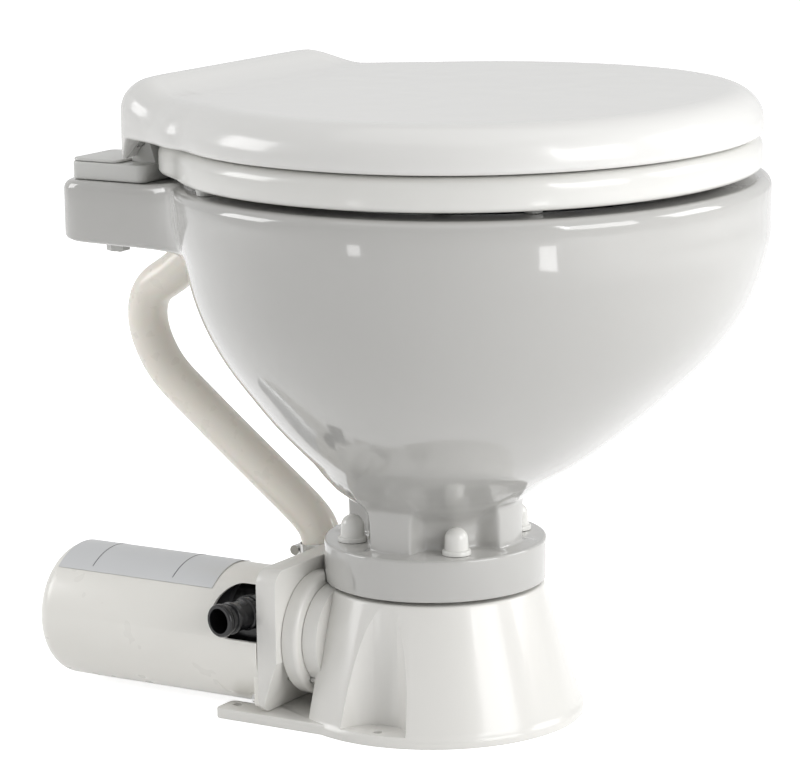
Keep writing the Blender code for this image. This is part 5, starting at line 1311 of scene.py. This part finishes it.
@dataclass
class PumpHousing:
    """The macerator housing disc with its waste outlet, and the square bracket plate."""

    disc_r: float = 0.0372
    disc_x: Point = (-0.0605, -0.0503)
    duct_half: float = 0.0106
    duct_x: Point = (-0.0577, -0.0528)
    outlet_x: float = -0.0575
    outlet_y: Point = (0.0086, 0.0560)
    outlet_r: float = 0.0114
    barb_r: float = 0.0126
    bore_r: float = 0.0090
    plate_x: Point = (-0.0745, -0.0608)
    plate_y: Point = (-0.0830, 0.0070)
    plate_z: Point = (0.0068, 0.0945)
    plate_corner: float = 0.0100
    shaft_bore_r: float = 0.0098
    taper_foot: float = -0.0722
    taper_top: float = 0.0385
    screw_head: Point = (0.0036, 0.0041)
    lug_screw_depth: float = 0.0033

    def build(self) -> None:
        """Make the housing and the plate."""
        self.build_disc()
        self.build_plate()

    def screw_holes(self, item: bpy.types.Object, low: float, high: float, radius: float, segments: int) -> None:
        """Cut a hole at each pump screw."""
        for place in around(PUMP_AXIS, PUMP_SCREW_CIRCLE_R, PUMP_SCREW_ANGLES):
            drill(item, "X", place, low, high, radius, segments)

    def outlet(self) -> list[Point]:
        """Profile of the barbed outlet."""
        (start, end), r, barb = self.outlet_y, self.outlet_r, self.barb_r
        out = [(0.0, start), (barb, start), (barb, start + 0.0105), (r, start + 0.0125)]
        for top in (end - 0.0230, end - 0.0155, end - 0.0080):
            out += [(r, top + 0.0010), (barb + 0.0002, top + 0.0016), (r + 0.0002, top + 0.0066)]
        return out + [(0.0100, end), (0.0, end)]

    def build_disc(self) -> None:
        """Make the disc with chamber, duct and barbed outlet."""
        rear, front = self.disc_x
        y, z = PUMP_AXIS
        start, end = self.outlet_y
        r = self.disc_r
        profile = round_profile([(0.0, rear, 0.0), (r, rear, 0.0008), (r, front, 0.0034), (0.0, front, 0.0)], 7)
        disc = turned("housing_disc", profile, (0, y, z), (1, 0, 0), 128, closed=False)
        box = rounded_box((y, z - self.duct_half), (0.0116, z + self.duct_half), 0.001)
        join(disc, prism("block", box, rear + 0.0002, front - 0.0008, "X"))
        join(disc, turned("spigot", self.outlet(), (self.outlet_x, 0, z), (0, 1, 0), 72, closed=False))
        drill(disc, "Z", (0, 0), FLANGE_RELIEF[1], FLANGE_RELIEF_TOP, FLANGE_RELIEF[0], 128)
        drill(disc, "X", PUMP_AXIS, -0.0583, -0.0450, 0.0255, 72)
        drill(disc, "X", PUMP_AXIS, -0.0650, -0.0500, 0.0050, 32)
        low, high = self.duct_x
        duct = [(low, z - 0.0065), (high, z - 0.0065), (high, z + 0.0065), (low, z + 0.0065)]
        cut(disc, prism("duct", duct, y + 0.0204, start + 0.0060, "Y"))
        drill(disc, "Y", (self.outlet_x, z), start + 0.0030, end + PAST_MORE, self.bore_r, 48)
        self.screw_holes(disc, rear - PAST, front + PAST, SCREW_HOLE_R, 20)
        dress(disc, BASE_GLOSS, Body.TOILET, ["macerator_housing"], 34.0)

    def build_plate(self) -> None:
        """Make the plate with rounded corners and a stepped, tapered foot."""
        (rear, front), (left, right), (bottom, top) = self.plate_x, self.plate_y, self.plate_z
        outline = rounded_box((left, bottom), (right, top), self.plate_corner, 12)
        plate = prism("bracket_plate", outline, rear, front, "X")
        foot, past = self.taper_foot, front + PAST_MORE
        taper = [(past, self.taper_top + 0.0005), (front - 0.0008, self.taper_top), (foot, bottom),
                 (foot, bottom - PAST_MORE), (past, bottom - PAST_MORE)]
        cut(plate, prism("taper", taper, left - PAST_MORE, right + PAST_MORE, "Y"))
        soften(plate, 0.0014, 3, 30.0)
        drill(plate, "Z", (0, 0), FLANGE_RELIEF[1], FLANGE_RELIEF_TOP, FLANGE_RELIEF[0], 128)
        drill(plate, "X", PUMP_AXIS, rear - PAST_MORE, past, self.shaft_bore_r, 48)
        depth, head_r = self.screw_head
        self.screw_holes(plate, rear - PAST, front + PAST, SCREW_HOLE_R, 20)
        self.screw_holes(plate, rear - PAST, rear + depth, head_r, 28)
        for side in Side:
            place = (MOTOR_AXIS[0] + LUG_SCREW[0] * side.value, LUG_SCREW[1])
            drill(plate, "X", place, rear - PAST, rear + self.lug_screw_depth, LUG_SCREW_R, 16)
        dress(plate, BASE_GLOSS, Body.TOILET, ["pump_bracket"], 34.0)


@dataclass
class WaterPump:
    """The black water inlet barb of the flush pump."""

    tip: Place = (-0.0905, -0.0990, 0.0655)
    angle: float = 11.3
    length: float = 0.0340
    collar: float = 0.0088

    def build(self) -> None:
        """Make the inlet barb."""
        a = math.radians(self.angle)
        run = Vector((-math.sin(a), -math.cos(a), 0.0))
        total, collar = self.length, self.collar
        profile = [
            (0.0076, total, 0.0004), (0.0092, total, 0.0), (0.0100, total - 0.0008, 0.0006),
            (0.0100, total - 0.0030, 0.0006), (0.0087, total - 0.0050, 0.0004), (0.0087, total - 0.0080, 0.0),
            (0.0097, total - 0.0083, 0.0003), (0.0097, total - 0.0098, 0.0004), (0.0089, total - 0.0135, 0.0004),
            (0.0089, collar + 0.0046, 0.0006), (0.0101, collar + 0.0034, 0.0004), (0.0101, collar, 0.0004),
            (0.0080, collar, 0.0), (0.0080, 0.0, 0.0), (0.0062, 0.0, 0.0), (0.0062, collar + 0.0040, 0.0),
            (0.0076, collar + 0.0060, 0.0),
        ]
        stem = Vector(self.tip) - run * total
        barb = turned("inlet_barb_moulded", round_profile(profile, 4), stem, run, 72, closed=True)
        dress(barb, BLACK_MOULD, Body.TOILET, ["inlet_barb"], 34.0)


@dataclass
class MotorCover:
    """The round motor cover with notches, lugs and label."""

    r: float = 0.0412
    wall: float = 0.0024
    front: float = -0.0752
    rear: float = -0.2390
    corner: float = 0.0120
    notch: Place = (-0.1100, 0.0500, 0.0800)
    notch_y: Point = (0.008, 0.046)
    tab: Point = (0.0048, 0.0032)
    lug_y: Point = (0.0240, 0.0380)
    lug_z: Point = (0.0095, 0.0300)
    gland_z: float = 0.0225
    gland_r: float = 0.0048
    label_x: Point = (-0.2290, -0.1150)
    label_angles: Point = (49.0, 112.0)
    rules: tuple[float, ...] = (0.21, 0.73)

    def build(self) -> None:
        """Make cover and label."""
        cover = self.build_shell()
        for side in Side:
            self.cut_notch(cover, side)
        soften(cover, 0.0004, 2, 50.0)
        for side in Side:
            self.add_lug(cover, side)
        drill(cover, "X", (MOTOR_AXIS[0], self.gland_z), self.rear - PAST_MORE, self.rear + PAST_MORE,
              self.gland_r, 32)
        dress(cover, COVER_GLOSS, Body.TOILET, ["motor_cover"], 34.0)
        self.build_label()

    def build_shell(self) -> bpy.types.Object:
        """Make the plain cup."""
        inner, small = self.r - self.wall, 0.0004
        middle = (self.r - self.corner, self.rear + self.corner)
        profile = [(self.r - small, self.front), (self.r, self.front - small)]
        profile += arc(middle, self.corner, 0.0, -90.0, 12)
        profile += [(0.0, self.rear), (0.0, self.rear + self.wall)]
        profile += arc(middle, self.corner - self.wall, -90.0, 0.0, 8)
        profile += [(inner, self.front - small), (inner + small, self.front)]
        return turned("motor_cover_shell", profile, (0, *MOTOR_AXIS), (1, 0, 0), 144, closed=True)

    def cut_notch(self, cover: bpy.types.Object, side: Side) -> None:
        """Cut one notch. The near one leaves a small tab at its upper corner."""
        back, low, high = self.notch
        radius, mid, past = (high - low) / 2, (high + low) / 2, self.front + PAST_MORE
        line = [(past, low)] + arc((back + radius, mid), radius, 270.0, 90.0, 24)
        if side is Side.NEAR:
            tab_x, tab_z = self.front - self.tab[0], high - self.tab[1]
            line += [(tab_x, high), (tab_x, tab_z), (past, tab_z)]
        else:
            line += [(past, high)]
        a, b = sorted(MOTOR_AXIS[0] + y * side.value for y in self.notch_y)
        cut(cover, prism("notch", line, a, b, "Y"))

    def add_lug(self, cover: bpy.types.Object, side: Side) -> None:
        """Add one lug with its screw hole."""
        y, z = MOTOR_AXIS
        a, b = sorted(y + at * side.value for at in self.lug_y)
        outline = rounded_box((a, self.lug_z[0]), (b, self.lug_z[1]), 0.0030)
        lug = soften(prism("lug", outline, self.front - 0.0040, self.front, "X"), 0.0005, 2)
        drill(lug, "X", (y, z), self.front - 0.01, self.front + PAST_MORE, self.r - 0.001, 144)
        join(cover, lug)
        place = (y + LUG_SCREW[0] * side.value, LUG_SCREW[1])
        drill(cover, "X", place, self.front - 0.02, self.front + PAST_MORE, LUG_SCREW_R, 16)

    def strip(self, name: str, x: Point, angles: Point, lift: float, thick: float) -> bpy.types.Object:
        """Make a thin curved patch on the cover.

        Args:
            name: Name of the patch.
            x: Its ends along the cover.
            angles: Its sides, above the horizontal on the near side.
            lift: Gap to the cover.
            thick: Thickness.

        Returns:
            The patch.
        """
        start, end = angles
        steps = max(int(abs(end - start) / 2.0), 1)
        inner, outer = self.r + lift, self.r + lift + thick
        line = arc((0, 0), outer, start, end, steps) + arc((0, 0), inner, end, start, steps)
        return prism(name, [(MOTOR_AXIS[0] - a, MOTOR_AXIS[1] + b) for a, b in line], *x, "X")

    def build_label(self) -> None:
        """Make the bare silver label with plain ruled lines."""
        label = self.strip("label_film", self.label_x, self.label_angles, 0.0003, 0.0003)
        dress(label, FILM, Body.TOILET, ["rating_label"], 34.0)
        start, end = self.label_angles
        x0, x1 = self.label_x
        for number, place in enumerate(self.rules):
            x = x0 + (x1 - x0) * place
            width, angles = (x, x + 0.0005), (start + 5.0, end - 5.0)
            line = self.strip(f"label_rule_{number}", width, angles, 0.00062, 0.00008)
            dress(line, INK, Body.TOILET)


@dataclass
class FlushHose:
    """The vinyl flush hose."""

    points: tuple[Place, ...] = (
        (-0.0879, 0.0132, 0.0795), (-0.0898, 0.0132, 0.0945), (-0.0975, 0.0130, 0.1065),
        (-0.1227, 0.0115, 0.1275), (-0.1482, 0.0095, 0.1487), (-0.1736, 0.0075, 0.1702),
        (-0.1952, 0.0055, 0.1901), (-0.2053, 0.0030, 0.2109), (-0.2065, 0.0015, 0.2287),
        (-0.1996, 0.0005, 0.2424), (-0.1825, 0.0000, 0.2537), (-0.1605, 0.0000, 0.2718),
    )
    radius: float = 0.0124
    wall: float = 0.0028
    sides: int = 48
    per_span: int = 10
    rounds: int = 8

    def path(self) -> Ring:
        """Points along the hose's smooth middle line."""
        known = [Vector(p) for p in self.points]
        out = []
        for i in range(len(known) - 1):
            ends = known[max(i - 1, 0)], known[i], known[i + 1], known[min(i + 2, len(known) - 1)]
            out += [spline(*ends, k / self.per_span) for k in range(self.per_span)]
        out.append(known[-1])
        for _ in range(self.rounds):
            out[2:-2] = [0.25 * out[i - 1] + 0.5 * out[i] + 0.25 * out[i + 1] for i in range(2, len(out) - 2)]
        return out

    def build(self) -> None:
        """Make the hose as a wall of even thickness along its path."""
        path = self.path()
        across = Vector((0.0, 1.0, 0.0))
        frames = []
        for i, point in enumerate(path):
            run = (path[min(i + 1, len(path) - 1)] - path[max(i - 1, 0)]).normalized()
            side = (across - run * across.dot(run)).normalized()
            frames.append((point, side, run.cross(side)))
        rows: list[Ring] = []
        for radius, order in ((self.radius, frames), (self.radius - self.wall, frames[::-1])):
            for point, side, up in order:
                rows.append([
                    point + side * (radius * math.cos(math.tau * k / self.sides))
                    + up * (radius * math.sin(math.tau * k / self.sides))
                    for k in range(self.sides)
                ])
        hose = loft("hose_vinyl_tube", rows, closed=True)
        dress(hose, HOSE_VINYL, Body.TOILET, ["flush_hose"], 50.0)


# Studio


@dataclass(frozen=True)
class Lamp:
    """A rectangular soft lamp that the camera doesn't see."""

    name: str
    place: Place
    aim: Place
    size: Point
    power: float

    def build(self) -> None:
        """Add the lamp."""
        data = bpy.data.lights.new(self.name, "AREA")
        data.shape = "RECTANGLE"
        data.size, data.size_y = self.size
        data.energy = self.power
        item = bpy.data.objects.new(self.name, data)
        bpy.context.scene.collection.objects.link(item)
        item.visible_camera = False
        item.location = self.place
        item.rotation_euler = (Vector(self.aim) - Vector(self.place)).to_track_quat("-Z", "Y").to_euler()


def math_node(
    tree: bpy.types.NodeTree, operation: str, *feeds: bpy.types.NodeSocket | float
) -> bpy.types.NodeSocket:
    """Add a math node.

    Args:
        tree: The node tree.
        operation: Its operation.
        feeds: Sockets or plain values for its inputs, in order.

    Returns:
        Its output.
    """
    node = tree.nodes.new("ShaderNodeMath")
    node.operation = operation
    for number, feed in enumerate(feeds):
        if isinstance(feed, float):
            node.inputs[number].default_value = feed
        else:
            tree.links.new(feed, node.inputs[number])
    return node.outputs["Value"]


@dataclass
class Studio:
    """Floor, lamps, sky and camera."""

    middle: Place = (0.0, 0.0, 0.2)
    camera: Place = (1.0759, -1.8026, 0.6169)
    azimuth: float = 31.37
    pitch: float = 11.303
    roll: float = -0.85
    lens: float = 162.5
    sensor: float = 36.0
    floor_size: float = 12.0
    floor_tone: float = 0.86
    floor_seen: float = 0.32
    floor_glow: float = 0.48
    sky_light: float = 0.44
    sky_glossy: float = 0.75

    def build(self) -> None:
        """Set up the whole studio."""
        self.build_floor()
        self.build_sky()
        low, bowl = (0.0, 0.0, 0.1), (0.0, 0.0, 0.27)
        for lamp in (
            Lamp("right_softbox", (2.2, -0.3, 0.8), self.middle, (1.2, 1.2), 20.0),
            Lamp("rear_softbox", (1.7, 1.3, 1.0), self.middle, (1.0, 1.0), 15.0),
            Lamp("left_softbox", (-2.0, -1.0, 1.0), self.middle, (1.0, 1.0), 14.0),
            Lamp("top_softbox", (0.0, -0.2, 2.2), self.middle, (2.0, 2.0), 8.0),
            Lamp("base_strip", (1.33, -0.53, 0.93), low, (0.07, 0.80), 1.2),
            Lamp("window_right", (0.86, -0.50, 0.10), bowl, (0.11, 0.07), 0.12),
            Lamp("window_left", (-0.22, -1.00, 0.10), bowl, (0.09, 0.07), 0.08),
        ):
            lamp.build()
        self.build_camera()
        bpy.context.scene.view_settings.view_transform = "Standard"

    def build_floor(self) -> None:
        """Add the pale floor that keeps the toilet's shadow.

        It glows for the camera and for reflections alone, so it stays white and lights nothing.
        """
        deselect()
        bpy.ops.mesh.primitive_plane_add(size=self.floor_size, location=(0.0, 0.0, 0.0))
        floor = bpy.context.active_object
        floor.name = "studio_floor"
        made = bpy.data.materials.new("studio_floor_paint")
        made.use_nodes = True
        tree = made.node_tree
        nodes, links = tree.nodes, tree.links
        shader = nodes["Principled BSDF"]
        shader.inputs["Base Color"].default_value = (self.floor_tone, self.floor_tone, self.floor_tone, 1.0)
        shader.inputs["Roughness"].default_value = 0.9
        shader.inputs["Specular IOR Level"].default_value = 0.1
        glow = nodes.new("ShaderNodeEmission")
        rays = nodes.new("ShaderNodeLightPath")
        seen = math_node(tree, "MAXIMUM", rays.outputs["Is Camera Ray"], rays.outputs["Is Glossy Ray"])
        share = math_node(tree, "MULTIPLY_ADD", rays.outputs["Is Camera Ray"], self.floor_seen, self.floor_glow)
        add = nodes.new("ShaderNodeAddShader")
        mix = nodes.new("ShaderNodeMixShader")
        for start, end in (
            (share, glow.inputs["Strength"]), (shader.outputs["BSDF"], add.inputs[0]),
            (glow.outputs["Emission"], add.inputs[1]), (seen, mix.inputs["Fac"]),
            (shader.outputs["BSDF"], mix.inputs[1]), (add.outputs["Shader"], mix.inputs[2]),
            (mix.outputs["Shader"], nodes["Material Output"].inputs["Surface"]),
        ):
            links.new(start, end)
        floor.data.materials.append(made)

    def build_sky(self) -> None:
        """Add a plain sky: white where it is seen, softer where it reflects or lights."""
        world = bpy.data.worlds.new("studio_sky")
        world.use_nodes = True
        bpy.context.scene.world = world
        tree = world.node_tree
        back = tree.nodes["Background"]
        back.inputs["Color"].default_value = (1.0, 1.0, 1.0, 1.0)
        rays = tree.nodes.new("ShaderNodeLightPath").outputs
        seen = math_node(tree, "MAXIMUM", rays["Is Camera Ray"], rays["Is Transmission Ray"])
        glossy = math_node(tree, "MULTIPLY", rays["Is Glossy Ray"], self.sky_glossy)
        both = math_node(tree, "MAXIMUM", seen, glossy)
        tree.links.new(math_node(tree, "MAXIMUM", both, self.sky_light), back.inputs["Strength"])

    def build_camera(self) -> None:
        """Add the camera at the photograph's viewing angle."""
        data = bpy.data.cameras.new("view")
        data.lens = self.lens
        data.sensor_width = self.sensor
        item = bpy.data.objects.new("view", data)
        bpy.context.scene.collection.objects.link(item)
        a, p = math.radians(self.azimuth), math.radians(self.pitch)
        aim = Vector((-math.sin(a) * math.cos(p), math.cos(a) * math.cos(p), -math.sin(p)))
        turn = aim.to_track_quat("-Z", "Y").to_matrix() @ Matrix.Rotation(math.radians(self.roll), 3, "Z")
        item.location = self.camera
        item.rotation_euler = turn.to_euler()
        bpy.context.scene.camera = item


def repaint_frame() -> None:
    """Give every frame node the finish of its slot."""
    slots = {part["node"]: part["material_slot"] for part in frame["record"]["subparts"]}
    for name, item in frame["nodes"].items():
        made = BY_SLOT[slots[name]].material(name)
        if not item.data.materials:
            item.data.materials.append(made)
        for index in range(len(item.data.materials)):
            item.data.materials[index] = made


def corners(box: tuple[Vector, Vector]) -> list[list[float]]:
    """A box as plain lists."""
    return [[float(c) for c in corner] for corner in box]


def main() -> None:
    """Build the dressed toilet around the frame."""
    logging.basicConfig(level=logging.INFO, format="%(message)s")
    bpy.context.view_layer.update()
    repaint_frame()
    bowl = Bowl()
    bowl.build()
    bowl.build_caps()
    for maker in (Seat, Lid, Hinges, PumpBase, PumpHousing, WaterPump, MotorCover, FlushHose, Studio):
        maker().build()


if __name__ == "__main__":
    main()
